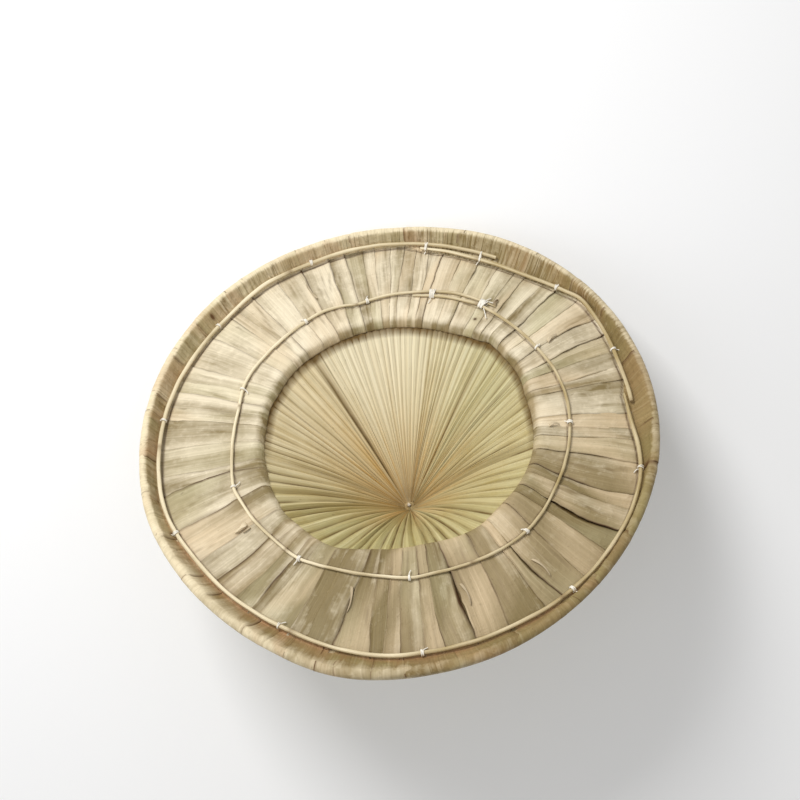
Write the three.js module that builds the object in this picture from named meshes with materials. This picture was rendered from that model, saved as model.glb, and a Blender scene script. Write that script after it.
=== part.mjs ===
// A salakot: a wide palm-leaf hat, lying upside down on a table with its head opening up.
//
// The crown is one pleated fan-palm leaf, gathered to a stub at its tip. Its outer part spreads into the outer
// layer of the brim. Leaf strips laid side by side line the brim, and are rolled over at the head opening. A leaf
// binding folds over both layers at the rim. Two hoops of split cane, tied with thread, clamp them together.
//
// Everything is drawn round the hat's own axis: x to the right, y away, z out of the head opening, with z = 0 in
// the plane of the rim. An azimuth is in degrees from +x towards +y. The whole hat is then leaned over so that it
// rests on the stub and on the far edge of the rim, as an upturned hat does. Millimetres throughout.

import * as THREE from "three";
import { mergeVertices } from "three/addons/utils/BufferGeometryUtils.js";

// Driving sizes
const rimRadius = 200; // axis to the outermost edge of the rim
const rimRollRadius = 3.6; // the round edge of the rim
const rimLift = 3.6; // how far the brim's layers turn up from the outer hoop to the rim
const rimWander = 5; // how far a hand-made rim strays from its circle
const crownDepth = 137; // rim plane to the point that the inside of the crown runs to
const crownHollowing = 8; // how far the crown's side is pulled in from a straight cone
const openingRadius = 104; // axis to the rolled edge of the head opening
const openingDrop = 12.4; // rim plane to the lower edge of that roll
const openingWander = 6; // how far the opening strays from its circle
const openingRollRadius = 8; // the rolled edge itself
const leafWall = 1.4; // the fan leaf
const stripWall = 1.3; // the leaf strips
const stripLap = 0.7; // how far a strip's edge stands over its neighbour
const stripSwell = 0.8; // how far the strips lift between the two hoops
const bindingWall = 1.2; // the folded leaf at the rim
const bindingStep = 0.4; // how far one wrap stands over the next
const bindingBackWidth = 12; // how far the binding reaches over the hat's top
const pleatDepth = 2.3; // fold to fold on the crown's side
const ripple = 0.6; // what is left of the pleats on the brim
const outerHoopInset = 15.6; // outermost edge of the rim to the outer hoop's middle
const outerHoopThickness = 3.2;
const outerHoopWander = 5.2;
const outerHoopDrop = 6.3; // rim plane to the outer hoop's middle
const innerHoopOffset = 25; // the opening's edge to the inner hoop's middle
const innerHoopThickness = 2.8;
const innerHoopWander = 4;
const innerHoopDrop = 3.3; // rim plane to the inner hoop's middle
const threadThickness = 0.9;
const tieWidth = 2.6; // a tie, measured along its hoop
const tieFootRise = 1.1; // a tie's feet stop this far above its cane's underside
const knotWidth = 6; // the big knot where the inner hoop's ends meet
const stubRadius = 8; // the gathered stub at the crown's tip
const stubShankRadius = 4.7; // where it comes through the leaf
const stubReach = 5; // how far it stands out below the leaf
const restFlat = 4; // length of the flattened places that the hat lies on
const gap = 0.3; // between pieces that touch
const settle = 0.25; // more room where curved pieces lie on each other
const slotPlay = 1.2; // from the layers' ends to the bottom of the binding's fold

// Azimuth of the far edge, the one that the hat lies on
const restAzimuth = 90;

// Stray of the rim from its circle, as a share of rimWander
const RIM_EDGE = [
  { azimuth: 0, stray: -0.35 },
  { azimuth: 30, stray: 0 },
  { azimuth: 55, stray: 0.3 },
  { azimuth: 75, stray: 0 },
  { azimuth: 90, stray: -0.15 },
  { azimuth: 105, stray: 0 },
  { azimuth: 125, stray: 0.3 },
  { azimuth: 160, stray: 0.1 },
  { azimuth: 195, stray: 0.1 },
  { azimuth: 222, stray: -0.25 },
  { azimuth: 236, stray: 0.2 },
  { azimuth: 251, stray: 0.95 },
  { azimuth: 270, stray: 0.4 },
  { azimuth: 300, stray: -0.25 },
  { azimuth: 328, stray: -0.5 },
];

// Stray of the head opening's edge, as a share of openingWander
const OPENING_EDGE = [
  { azimuth: 5, stray: -0.1 },
  { azimuth: 20, stray: 0.4 },
  { azimuth: 41, stray: 0.95 },
  { azimuth: 46, stray: 0.35 },
  { azimuth: 62, stray: -0.25 },
  { azimuth: 90, stray: -0.3 },
  { azimuth: 120, stray: -0.2 },
  { azimuth: 150, stray: 0.05 },
  { azimuth: 180, stray: 0.1 },
  { azimuth: 212, stray: 0.65 },
  { azimuth: 235, stray: 0.5 },
  { azimuth: 252, stray: -0.3 },
  { azimuth: 272, stray: -0.55 },
  { azimuth: 300, stray: -0.15 },
  { azimuth: 330, stray: 0 },
  { azimuth: 345, stray: 0.15 },
];

// The outer hoop is two canes. Each is a row of places along it, with its stray as a share of outerHoopWander.
const OUTER_CANE_LONG = [
  { azimuth: 56, stray: 0.35 },
  { azimuth: 72, stray: 0.4 },
  { azimuth: 90, stray: 0.5 },
  { azimuth: 106, stray: 0.38 },
  { azimuth: 119, stray: 0.58 },
  { azimuth: 129, stray: 0.12 },
  { azimuth: 142, stray: 0 },
  { azimuth: 160, stray: 0.23 },
  { azimuth: 178, stray: 0.35 },
  { azimuth: 190, stray: 0.5 },
  { azimuth: 200, stray: 0.1 },
  { azimuth: 210, stray: -0.45 },
  { azimuth: 224, stray: -0.65 },
  { azimuth: 240, stray: -0.65 },
  { azimuth: 250, stray: -0.25 },
  { azimuth: 262, stray: 0.12 },
  { azimuth: 278, stray: -0.15 },
  { azimuth: 290, stray: -0.08 },
  { azimuth: 304, stray: 0.35 },
  { azimuth: 318, stray: 0.6 },
  { azimuth: 332, stray: 0.6 },
  { azimuth: 339, stray: 0.3 },
  { azimuth: 345, stray: -0.3 },
  { azimuth: 351, stray: -1.05 },
  { azimuth: 356, stray: -1.4 },
  { azimuth: 360.5, stray: -1.5 },
];
const OUTER_CANE_SHORT = [
  { azimuth: 357.5, stray: -0.6 },
  { azimuth: 364, stray: -0.62 },
  { azimuth: 371, stray: -0.4 },
  { azimuth: 380, stray: 0.25 },
  { azimuth: 387, stray: 0.85 },
  { azimuth: 391, stray: 1 },
  { azimuth: 395, stray: 0.5 },
  { azimuth: 400, stray: -0.1 },
  { azimuth: 405, stray: -0.65 },
  { azimuth: 410, stray: -0.9 },
  { azimuth: 418, stray: -1.04 },
  { azimuth: 427, stray: -0.85 },
  { azimuth: 436, stray: -0.4 },
];

// The inner hoop is one cane whose ends pass each other. Stray is a share of innerHoopWander.
const INNER_CANE = [
  { azimuth: 54, stray: 2.2 },
  { azimuth: 60, stray: 2.15 },
  { azimuth: 70, stray: 1.5 },
  { azimuth: 80, stray: 0.65 },
  { azimuth: 90, stray: 0 },
  { azimuth: 97, stray: -0.7 },
  { azimuth: 105, stray: 0.3 },
  { azimuth: 116, stray: 0.45 },
  { azimuth: 135, stray: 0.25 },
  { azimuth: 152, stray: 0.5 },
  { azimuth: 161, stray: -0.3 },
  { azimuth: 171, stray: -0.4 },
  { azimuth: 182, stray: 0.15 },
  { azimuth: 193, stray: 0.95 },
  { azimuth: 206, stray: 0.55 },
  { azimuth: 229, stray: 0.4 },
  { azimuth: 240, stray: -0.4 },
  { azimuth: 252, stray: -0.75 },
  { azimuth: 267, stray: -0.25 },
  { azimuth: 276, stray: -0.35 },
  { azimuth: 290, stray: 0.15 },
  { azimuth: 307, stray: 0.9 },
  { azimuth: 330, stray: 0.5 },
  { azimuth: 352, stray: 0.75 },
  { azimuth: 367, stray: 0.9 },
  { azimuth: 388, stray: 0.5 },
  { azimuth: 412, stray: 1.1 },
  { azimuth: 424, stray: 0.5 },
  { azimuth: 437, stray: -0.1 },
];

// The fan leaf's pleats, evenly spaced from each azimuth to the next
const FAN_SECTORS = [
  { azimuth: 0, pleats: 10 },
  { azimuth: 60, pleats: 14 },
  { azimuth: 120, pleats: 11 },
  { azimuth: 180, pleats: 9 },
  { azimuth: 240, pleats: 14 },
  { azimuth: 300, pleats: 10 },
];

// Each leaf strip's raised edge: its azimuths at the rim and at the opening, and its lap as a share of stripLap
const LEAF_STRIPS = [
  { rim: 5, opening: 6, lap: 0.4 },
  { rim: 12, opening: 11, lap: 0.4 },
  { rim: 19.5, opening: 16.5, lap: 1 },
  { rim: 24, opening: 22.5, lap: 0.8 },
  { rim: 31, opening: 29.5, lap: 0.5 },
  { rim: 37.5, opening: 35.5, lap: 1 },
  { rim: 41.5, opening: 40.5, lap: 0.5 },
  { rim: 46.5, opening: 44.5, lap: 0.8 },
  { rim: 52.5, opening: 50, lap: 0.7 },
  { rim: 60, opening: 59, lap: 1 },
  { rim: 65, opening: 64.5, lap: 0.5 },
  { rim: 69.5, opening: 71, lap: 1 },
  { rim: 75, opening: 74.5, lap: 0.9 },
  { rim: 81, opening: 82.5, lap: 0.6 },
  { rim: 89, opening: 89.5, lap: 0.5 },
  { rim: 96.7, opening: 97.5, lap: 1 },
  { rim: 101.5, opening: 104, lap: 1 },
  { rim: 109, opening: 110.5, lap: 1 },
  { rim: 116, opening: 118, lap: 0.6 },
  { rim: 124, opening: 127, lap: 1 },
  { rim: 131, opening: 133.5, lap: 1 },
  { rim: 139.5, opening: 141, lap: 0.6 },
  { rim: 149.5, opening: 150, lap: 0.8 },
  { rim: 158, opening: 159, lap: 0.8 },
  { rim: 166.5, opening: 169, lap: 0.8 },
  { rim: 175, opening: 176, lap: 0.5 },
  { rim: 183, opening: 184, lap: 0.7 },
  { rim: 188.5, opening: 187.5, lap: 1 },
  { rim: 198.5, opening: 197, lap: 1 },
  { rim: 208.5, opening: 209.5, lap: 1 },
  { rim: 213, opening: 215, lap: 0.8 },
  { rim: 217, opening: 220, lap: 0.7 },
  { rim: 221, opening: 225, lap: 0.9 },
  { rim: 226, opening: 229, lap: 1 },
  { rim: 229, opening: 233, lap: 0.9 },
  { rim: 237, opening: 239.5, lap: 0.9 },
  { rim: 247, opening: 252.5, lap: 1 },
  { rim: 256.5, opening: 255.5, lap: 1 },
  { rim: 259, opening: 260, lap: 0.7 },
  { rim: 264.5, opening: 266.5, lap: 0.9 },
  { rim: 268.5, opening: 271, lap: 1 },
  { rim: 273.5, opening: 274.5, lap: 0.8 },
  { rim: 280, opening: 279.5, lap: 1 },
  { rim: 289.5, opening: 292, lap: 1 },
  { rim: 297, opening: 298, lap: 0.8 },
  { rim: 302, opening: 301.5, lap: 1 },
  { rim: 308.5, opening: 312, lap: 0.8 },
  { rim: 317, opening: 318.5, lap: 0.6 },
  { rim: 323, opening: 321.5, lap: 1 },
  { rim: 332.5, opening: 329.5, lap: 1 },
  { rim: 341, opening: 340, lap: 0.9 },
  { rim: 347, opening: 346, lap: 0.6 },
  { rim: 353.5, opening: 352.5, lap: 0.5 },
];

// Azimuths where one wrap of the rim's binding ends over the next
const BINDING_WRAPS = [
  8, 22, 33, 47, 56, 68, 80, 100, 108, 116, 123, 129, 138, 149, 161, 167, 178, 188, 199, 211, 221, 230, 239,
  246.5, 257, 264, 274, 286.5, 297, 308, 320, 339, 349,
];

// Azimuths of the thread ties. A tie over both canes of a hoop is marked double.
const OUTER_TIES = [
  { azimuth: 13.5 },
  { azimuth: 37.5 },
  { azimuth: 60, double: true },
  { azimuth: 74, double: true },
  { azimuth: 106 },
  { azimuth: 136.5 },
  { azimuth: 167.5 },
  { azimuth: 199.5 },
  { azimuth: 235 },
  { azimuth: 268 },
  { azimuth: 304 },
  { azimuth: 339 },
];
const INNER_TIES = [
  { azimuth: 24.5 },
  { azimuth: 52, double: true, width: knotWidth },
  { azimuth: 70, double: true },
  { azimuth: 94 },
  { azimuth: 118 },
  { azimuth: 154 },
  { azimuth: 193.5 },
  { azimuth: 229.5 },
  { azimuth: 266.5 },
  { azimuth: 307.5 },
  { azimuth: 351.5 },
];

// Fineness of the curved places
const roundSides = 6;
const caneStepDegrees = 6;
const rollSteps = 3;
const archSteps = 2;
const stubSides = 12;
const lapWidthDegrees = 0.15; // a lapped edge is nearly upright

// Places that follow from the sizes
const slotRadius = rimRadius - 2 * rimRollRadius; // bottom of the binding's fold
const outerHoopRadius = rimRadius - outerHoopInset;
const innerHoopRadius = openingRadius + innerHoopOffset;
const midBrimRadius = (innerHoopRadius + outerHoopRadius) / 2;
const rollCentreRadius = openingRadius + openingRollRadius;
const stripTopAtOuterHoop =
  -outerHoopDrop - outerHoopThickness / 2 - bindingStep - bindingWall - stripLap - 2 * (gap + settle);
const stripTopAtInnerHoop = -innerHoopDrop - innerHoopThickness / 2 - stripLap - gap - settle;
const stripTopAtRoll = openingRollRadius - openingDrop - stripLap;

const radians = THREE.MathUtils.degToRad;
const lerp = THREE.MathUtils.lerp;

// Smooth value round a closed table of { azimuth, stray } rows
function strayAround(table, azimuth) {
  const n = table.length;
  const turn = (((azimuth - table[0].azimuth) % 360) + 360) % 360;
  let i = n - 1;
  while (table[i].azimuth - table[0].azimuth > turn) i -= 1;
  const row = (k) => table[(k + n) % n].stray;
  const start = table[i].azimuth - table[0].azimuth;
  const end = i + 1 < n ? table[i + 1].azimuth - table[0].azimuth : 360;
  const t = (turn - start) / (end - start);
  return catmullRom(row(i - 1), row(i), row(i + 1), row(i + 2), t);
}

// Smooth value along an open table, held at its ends
function strayAlong(table, azimuth) {
  const last = table.length - 1;
  let i = 0;
  while (i < last - 1 && table[i + 1].azimuth < azimuth) i += 1;
  const row = (k) => table[Math.min(Math.max(k, 0), last)].stray;
  const t = (azimuth - table[i].azimuth) / (table[i + 1].azimuth - table[i].azimuth);
  return catmullRom(row(i - 1), row(i), row(i + 1), row(i + 2), Math.min(Math.max(t, 0), 1));
}

function catmullRom(p0, p1, p2, p3, t) {
  const a = -p0 + 3 * p1 - 3 * p2 + p3;
  const b = 2 * p0 - 5 * p1 + 4 * p2 - p3;
  return 0.5 * (2 * p1 + (p2 - p0) * t + b * t * t + a * t * t * t);
}

const rimStray = (azimuth) => rimWander * strayAround(RIM_EDGE, azimuth);
const openingStray = (azimuth) => openingWander * strayAround(OPENING_EDGE, azimuth);

// Turn-up of the brim's layers at a radius
function liftAt(radius, azimuth) {
  const width = slotRadius + rimStray(azimuth) - outerHoopRadius;
  return (rimLift * Math.max(radius - outerHoopRadius, 0)) / width;
}

// Height of the top of the strips, without laps
function stripTop(radius, azimuth) {
  if (radius < innerHoopRadius) {
    const t = (radius - rollCentreRadius) / (innerHoopRadius - rollCentreRadius);
    return lerp(stripTopAtRoll, stripTopAtInnerHoop, Math.max(t, 0));
  }
  const t = Math.min((radius - innerHoopRadius) / (outerHoopRadius - innerHoopRadius), 1);
  const level = lerp(stripTopAtInnerHoop, stripTopAtOuterHoop, t) + stripSwell * Math.sin(Math.PI * t);
  return level + liftAt(radius, azimuth);
}

// Height of the top of the fan leaf, from the inner hoop outwards
function brimLeafTop(radius, azimuth) {
  const t = Math.min((radius - innerHoopRadius) / (outerHoopRadius - innerHoopRadius), 1);
  const level = lerp(stripTopAtInnerHoop, stripTopAtOuterHoop, t);
  return level - stripWall - gap + liftAt(radius, azimuth);
}

// Height of the binding's upper flap, under and over
const flapUnder = (radius, azimuth) => stripTop(radius, azimuth) + stripLap + gap + settle;
const flapOver = (radius, azimuth) => flapUnder(radius, azimuth) + bindingWall + bindingStep;

// Height of the binding's lower flap where it faces the fan leaf
function backTop(radius, azimuth) {
  return brimLeafTop(radius, azimuth) - ripple - leafWall - gap - settle;
}

// A solid turned round the hat's axis. A column is { azimuth } or { azimuths }, the azimuth at each radius. Every
// column has the same number of [radius, height] points, which close on the axis or on themselves.
function turned(columns, section) {
  const rings = columns.map((column) => section(column));
  const onAxis = rings[0][0][0] === 0;
  const outline = rings[0].map(([radius, height]) => new THREE.Vector2(radius, height));
  if (!onAxis) outline.push(outline[0].clone());
  const geometry = new THREE.LatheGeometry(outline, columns.length);
  const position = geometry.getAttribute("position");
  for (let i = 0; i <= columns.length; i += 1) {
    const column = columns[i % columns.length];
    const ring = rings[i % columns.length];
    for (let j = 0; j < outline.length; j += 1) {
      const [radius, height] = ring[j % ring.length];
      const angle = radians(column.azimuths ? column.azimuths(radius) : column.azimuth);
      position.setXYZ(i * outline.length + j, radius * Math.cos(angle), radius * Math.sin(angle), height);
    }
  }
  return closed(geometry);
}

// Joins the seams of a geometry and drops the faces that have no area
function closed(geometry) {
  geometry.deleteAttribute("normal");
  geometry.deleteAttribute("uv");
  const joined = mergeVertices(geometry, 1e-4);
  const index = joined.getIndex().array;
  const kept = [];
  for (let i = 0; i < index.length; i += 3) {
    const [a, b, c] = [index[i], index[i + 1], index[i + 2]];
    if (a !== b && b !== c && c !== a) kept.push(a, b, c);
  }
  joined.setIndex(kept);
  joined.computeVertexNormals();
  return joined;
}

function leafMaterial(colour, roughness) {
  return new THREE.MeshStandardMaterial({ color: colour, roughness, metalness: 0, side: THREE.DoubleSide });
}

const fanLeafFinish = leafMaterial(0xcdbf8c, 0.62);
const stripFinish = leafMaterial(0xd3c198, 0.6);
const bindingFinish = leafMaterial(0xb8a36e, 0.62);
const stubFinish = leafMaterial(0x8a6b3f, 0.7);
const caneFinish = leafMaterial(0xd9c79a, 0.5);
const threadFinish = leafMaterial(0xe9e4d8, 0.85);

const hat = new THREE.Group();

function add(name, geometry, material) {
  const mesh = new THREE.Mesh(geometry, material);
  mesh.name = name;
  hat.add(mesh);
  return mesh;
}

// Inside of the crown: height at a radius, for an opening of the given radius
const crownRise = crownDepth - openingDrop - gap;
function crownInside(radius, edge) {
  return -crownDepth + (crownRise * radius) / edge + crownHollowing * Math.sin((Math.PI * radius) / edge);
}

// Direction out of the crown's wall, away from the hollow
function crownOutwards(radius, edge) {
  const hollowing = ((crownHollowing * Math.PI) / edge) * Math.cos((Math.PI * radius) / edge);
  return new THREE.Vector2(crownRise / edge + hollowing, -1).normalize();
}

// Rings of the crown's side as shares of the opening's radius, with the share of the pleats' depth there
const CROWN_RINGS = [
  { share: 0.3, pleat: 0.75 },
  { share: 0.65, pleat: 1 },
  { share: 1, pleat: 0.9 },
];
const leafHoleRadius = stubShankRadius + gap;

// The fan leaf: the crown's side and the brim's outer layer, pleated all the way
function fanLeaf() {
  const columns = [];
  FAN_SECTORS.forEach(({ azimuth, pleats }, s) => {
    const next = s + 1 < FAN_SECTORS.length ? FAN_SECTORS[s + 1].azimuth : FAN_SECTORS[0].azimuth + 360;
    for (let k = 0; k < 2 * pleats; k += 1) {
      columns.push({ azimuth: azimuth + ((next - azimuth) * k) / (2 * pleats), fold: k % 2 });
    }
  });
  return turned(columns, ({ azimuth, fold }) => {
    const edge = openingRadius + openingStray(azimuth);
    const end = slotRadius + rimStray(azimuth) - slotPlay;
    const side = [{ radius: leafHoleRadius, pleat: 0 }].concat(
      CROWN_RINGS.map(({ share, pleat }) => ({ radius: share * edge, pleat })),
    );
    const wall = side.map(({ radius, pleat }) => {
      const out = crownOutwards(radius, edge);
      const inner = new THREE.Vector2(radius, crownInside(radius, edge));
      inner.addScaledVector(out, pleatDepth * pleat * fold);
      return { inner, outer: inner.clone().addScaledVector(out, leafWall) };
    });
    const brim = [innerHoopRadius, outerHoopRadius, end].map((radius) => {
      const inner = new THREE.Vector2(radius, brimLeafTop(radius, azimuth) - ripple * fold);
      return { inner, outer: new THREE.Vector2(radius, inner.y - leafWall) };
    });
    // The hole's wall is upright, so that the stub's shank passes it
    wall[0].outer.x = leafHoleRadius;
    const faces = wall.concat(brim);
    const inside = faces.map(({ inner }) => [inner.x, inner.y]);
    const outside = faces.map(({ outer }) => [outer.x, outer.y]).reverse();
    return inside.concat(outside).reverse();
  });
}

// The strips that line the brim, with their rolled edge at the head opening
function leafStrips() {
  const stripEnd = slotRadius - slotPlay;
  const length = stripEnd - openingRadius;
  const runs = (opening, rim) => (radius) => lerp(opening, rim, (radius - openingRadius) / length);
  const columns = LEAF_STRIPS.flatMap(({ opening, rim, lap }, i) => {
    const last = i + 1 === LEAF_STRIPS.length;
    const next = LEAF_STRIPS[last ? 0 : i + 1];
    const back = (last ? 360 : 0) - lapWidthDegrees;
    return [
      { azimuths: runs(opening, rim), opening, rim, lap },
      { azimuths: runs(next.opening + back, next.rim + back), opening: next.opening, rim: next.rim, lap: 0 },
    ];
  });
  return turned(columns, ({ opening, rim, lap }) => {
    const rise = stripLap * lap;
    const end = stripEnd + rimStray(rim);
    const centre = rollCentreRadius + openingStray(opening);
    const top = [end, outerHoopRadius, midBrimRadius, innerHoopRadius].map((radius) => [
      radius,
      stripTop(radius, rim) + rise,
    ]);
    const reach = openingRollRadius - stripLap + rise;
    const roll = Array.from({ length: rollSteps + 1 }, (_, k) => {
      const angle = (Math.PI / 2) * (1 + k / rollSteps);
      return [centre + reach * Math.cos(angle), -openingDrop + reach * Math.sin(angle)];
    });
    const bottom = [innerHoopRadius, outerHoopRadius, end].map((radius) => [
      radius,
      brimLeafTop(radius, rim) + gap,
    ]);
    return top.concat(roll, bottom);
  });
}

// Radii of a hoop's canes at an azimuth
function canesAt(tables, azimuth, nominal, wander) {
  return tables.flatMap((table) =>
    [azimuth, azimuth + 360]
      .filter((a) => a > table[0].azimuth && a < table[table.length - 1].azimuth)
      .map((a) => nominal + wander * strayAlong(table, a)),
  );
}

// Radii that the outer hoop's canes lie between, near an azimuth
function outerHoopBand(azimuth) {
  const tables = [OUTER_CANE_LONG, OUTER_CANE_SHORT];
  const radii = [-5, -2.5, 0, 2.5, 5].flatMap((step) =>
    canesAt(tables, (azimuth + step + 360) % 360, outerHoopRadius, outerHoopWander),
  );
  return { low: Math.min(...radii), high: Math.max(...radii) };
}

// Places of the binding's underside and of the stub that touch the table, and the lean of the line between them
const rimFaceHalf = 5; // half of the azimuths that the rim's flattened place spans
const rimContact = new THREE.Vector2(
  slotRadius + rimRollRadius / 2 + rimStray(restAzimuth),
  backTop(slotRadius + rimStray(restAzimuth), restAzimuth) - bindingWall,
);
const stubFaceHalf = 180 / stubSides;
const stubTop = new THREE.Vector2(stubShankRadius, -crownDepth);
stubTop.y = crownInside(leafHoleRadius, openingRadius) - leafWall - gap;
const stubContact = new THREE.Vector2(0.6 * stubRadius, stubTop.y - stubReach);
const lean = Math.atan2(
  rimContact.y - stubContact.y,
  rimContact.x * Math.cos(radians(rimFaceHalf)) - stubContact.x * Math.cos(radians(stubFaceHalf)),
);

// Half of a flattened place's length, in a column that stands off its middle by an angle
function halfFlat(half) {
  const along = new THREE.Vector2(Math.cos(lean) / Math.cos(radians(half)), Math.sin(lean));
  return along.multiplyScalar(restFlat / 2);
}

// The leaf folded over the rim, in wraps that lap each other
function rimBinding() {
  const columns = BINDING_WRAPS.flatMap((azimuth, i) => {
    const next = i + 1 < BINDING_WRAPS.length ? BINDING_WRAPS[i + 1] : BINDING_WRAPS[0] + 360;
    const flattened = azimuth < restAzimuth && next > restAzimuth;
    const middles = flattened
      ? [restAzimuth - rimFaceHalf, restAzimuth + rimFaceHalf].map((a) => ({ azimuth: a, as: restAzimuth }))
      : [{ azimuth: (azimuth + next) / 2 }];
    return [
      { azimuth, step: 1 },
      ...middles.map((column) => ({ ...column, step: 0.5 })),
      { azimuth: next - lapWidthDegrees, step: 0 },
    ];
  });
  return turned(columns, ({ azimuth, as = azimuth, step }) => {
    const stray = rimStray(as);
    const slot = slotRadius + stray;
    const swell = bindingStep * (step - 1);
    const onRoll = (degrees) => [
      rimRadius + stray - rimRollRadius + (rimRollRadius + swell) * Math.cos(radians(degrees)),
      (rimRollRadius + swell) * Math.sin(radians(degrees)),
    ];
    const slope = onRoll(150);
    const band = outerHoopBand(azimuth);
    const flapEnd = band.low - 0.4 * outerHoopThickness;
    const tieReach = outerHoopThickness / 2 + threadThickness + 3 * gap + settle;
    const flapFoot = Math.min(band.high + tieReach, slope[0] - 0.2);
    const flapMiddle = Math.min(Math.max(outerHoopRadius, flapEnd + 0.5), flapFoot - 0.5);
    const over = (radius) => [radius, flapOver(radius, as) + swell];
    const flat = halfFlat(rimFaceHalf);
    const contactRadius = slotRadius + rimRollRadius / 2 + stray;
    const backEnd = slot - bindingBackWidth;
    return [
      [flapEnd, flapUnder(flapEnd, as)],
      over(flapEnd),
      over(flapMiddle),
      over(flapFoot),
      slope,
      onRoll(90),
      onRoll(35),
      onRoll(-25),
      [contactRadius + flat.x, rimContact.y + flat.y],
      [contactRadius - flat.x, rimContact.y - flat.y],
      [backEnd, backTop(backEnd, as) - bindingWall],
      [backEnd, backTop(backEnd, as)],
      [outerHoopRadius, backTop(outerHoopRadius, as)],
      [slot, backTop(slot, as)],
      [slot, flapUnder(slot, as)],
      [flapFoot, flapUnder(flapFoot, as)],
    ].reverse();
  });
}

// Height of a cane's middle line on each hoop
function outerCaneHeight(radius, azimuth) {
  const rise = flapOver(radius + 0.5, azimuth) - flapOver(radius - 0.5, azimuth);
  return flapOver(radius, azimuth) + (gap + outerHoopThickness / 2) * Math.hypot(1, rise);
}

function innerCaneHeight(radius, azimuth) {
  return stripTop(radius, azimuth) + stripLap + gap + settle + innerHoopThickness / 2;
}

const OUTER_HOOP = {
  canes: [OUTER_CANE_LONG, OUTER_CANE_SHORT],
  radius: outerHoopRadius,
  wander: outerHoopWander,
  thickness: outerHoopThickness,
  height: outerCaneHeight,
};
const INNER_HOOP = {
  canes: [INNER_CANE],
  radius: innerHoopRadius,
  wander: innerHoopWander,
  thickness: innerHoopThickness,
  height: innerCaneHeight,
};

// A place on the middle line of a hoop's cane
function hoopPoint(hoop, radius, azimuth) {
  const angle = radians(azimuth);
  return new THREE.Vector3(radius * Math.cos(angle), radius * Math.sin(angle), hoop.height(radius, azimuth));
}

function cane(hoop, table) {
  const first = table[0].azimuth;
  const last = table[table.length - 1].azimuth;
  const steps = Math.ceil((last - first) / caneStepDegrees);
  const points = Array.from({ length: steps + 1 }, (_, k) => {
    const azimuth = lerp(first, last, k / steps);
    return hoopPoint(hoop, hoop.radius + hoop.wander * strayAlong(table, azimuth), azimuth);
  });
  const round = Array.from({ length: roundSides }, (_, k) => {
    const angle = (2 * Math.PI * k) / roundSides;
    return new THREE.Vector2(Math.cos(angle), Math.sin(angle)).multiplyScalar(hoop.thickness / 2);
  });
  const sweep = { steps, bevelEnabled: false, extrudePath: new THREE.CatmullRomCurve3(points) };
  return closed(new THREE.ExtrudeGeometry(new THREE.Shape(round), sweep));
}

// Outline of a tie: an arch over one cane, or over two that are a span apart, with its feet at their undersides
function tieOutline(thickness, span) {
  const arch = (reach) => {
    const half = Array.from({ length: archSteps + 1 }, (_, k) => (Math.PI * k) / (2 * archSteps));
    const right = half.map((a) => new THREE.Vector2(span / 2 + reach * Math.cos(a), reach * Math.sin(a)));
    const left = right.map(({ x, y }) => new THREE.Vector2(-x, y)).reverse();
    const top = span > 0 ? left : left.slice(1);
    const foot = new THREE.Vector2(span / 2 + reach, tieFootRise - thickness / 2);
    return [foot, ...right, ...top, new THREE.Vector2(-foot.x, foot.y)];
  };
  const inside = (thickness / 2 + gap) / Math.cos(Math.PI / (4 * archSteps)) + settle;
  return [...arch(inside + threadThickness), ...arch(inside).reverse()];
}

function addTies(prefix, hoop, ties) {
  ties.forEach(({ azimuth, double, width = tieWidth }, i) => {
    const at = (a, pick) => {
      const radius = pick(...canesAt(hoop.canes, (a + 360) % 360, hoop.radius, hoop.wander));
      return hoopPoint(hoop, radius, a);
    };
    const low = at(azimuth, Math.min);
    const high = double ? at(azimuth, Math.max) : low;
    const along = at(azimuth - 1, Math.min).sub(at(azimuth + 1, Math.min)).normalize();
    const span = high.distanceTo(low);
    const reach = hoop.thickness + threadThickness;
    const radius = Math.hypot(low.x, low.y);
    const slope = hoopPoint(hoop, radius + reach, azimuth).sub(hoopPoint(hoop, radius - reach, azimuth));
    const across = span > 0 ? high.clone().sub(low) : slope;
    across.addScaledVector(along, -across.dot(along)).normalize();
    const outline = new THREE.Shape(tieOutline(hoop.thickness, span));
    const geometry = new THREE.ExtrudeGeometry(outline, { depth: width, bevelEnabled: false });
    geometry.translate(0, 0, -width / 2);
    const mesh = add(prefix + "_" + String(i + 1).padStart(2, "0"), closed(geometry), threadFinish);
    mesh.quaternion.setFromRotationMatrix(
      new THREE.Matrix4().makeBasis(across, along.clone().cross(across), along),
    );
    mesh.position.copy(low.add(high).multiplyScalar(0.5));
  });
}

// The stub of the leaf's stalk: a shank through the leaf's hole and a nub below it
function stalkStub() {
  const columns = Array.from({ length: stubSides }, (_, k) => ({
    azimuth: restAzimuth + stubFaceHalf + (360 * k) / stubSides,
  }));
  const flat = halfFlat(stubFaceHalf);
  const inEnd = crownInside(leafHoleRadius, openingRadius);
  return turned(columns, () =>
    [
      [0, inEnd - 0.4],
      [0.6 * stubShankRadius, inEnd - 0.6],
      [stubShankRadius, inEnd - 1],
      [stubShankRadius, stubTop.y],
      [stubRadius, stubTop.y],
      [stubContact.x + flat.x, stubContact.y + flat.y],
      [stubContact.x - flat.x, stubContact.y - flat.y],
      [0, stubContact.y - flat.y],
    ].reverse(),
  );
}

// The thread's knot on the stub, inside the crown
function apexKnot() {
  const knot = new THREE.SphereGeometry(1, 8, 5);
  knot.scale(2.4, 1.6, 1.3);
  knot.translate(0, 0, crownInside(leafHoleRadius, openingRadius) - 0.4 + gap + 1.3);
  return closed(knot);
}

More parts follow.
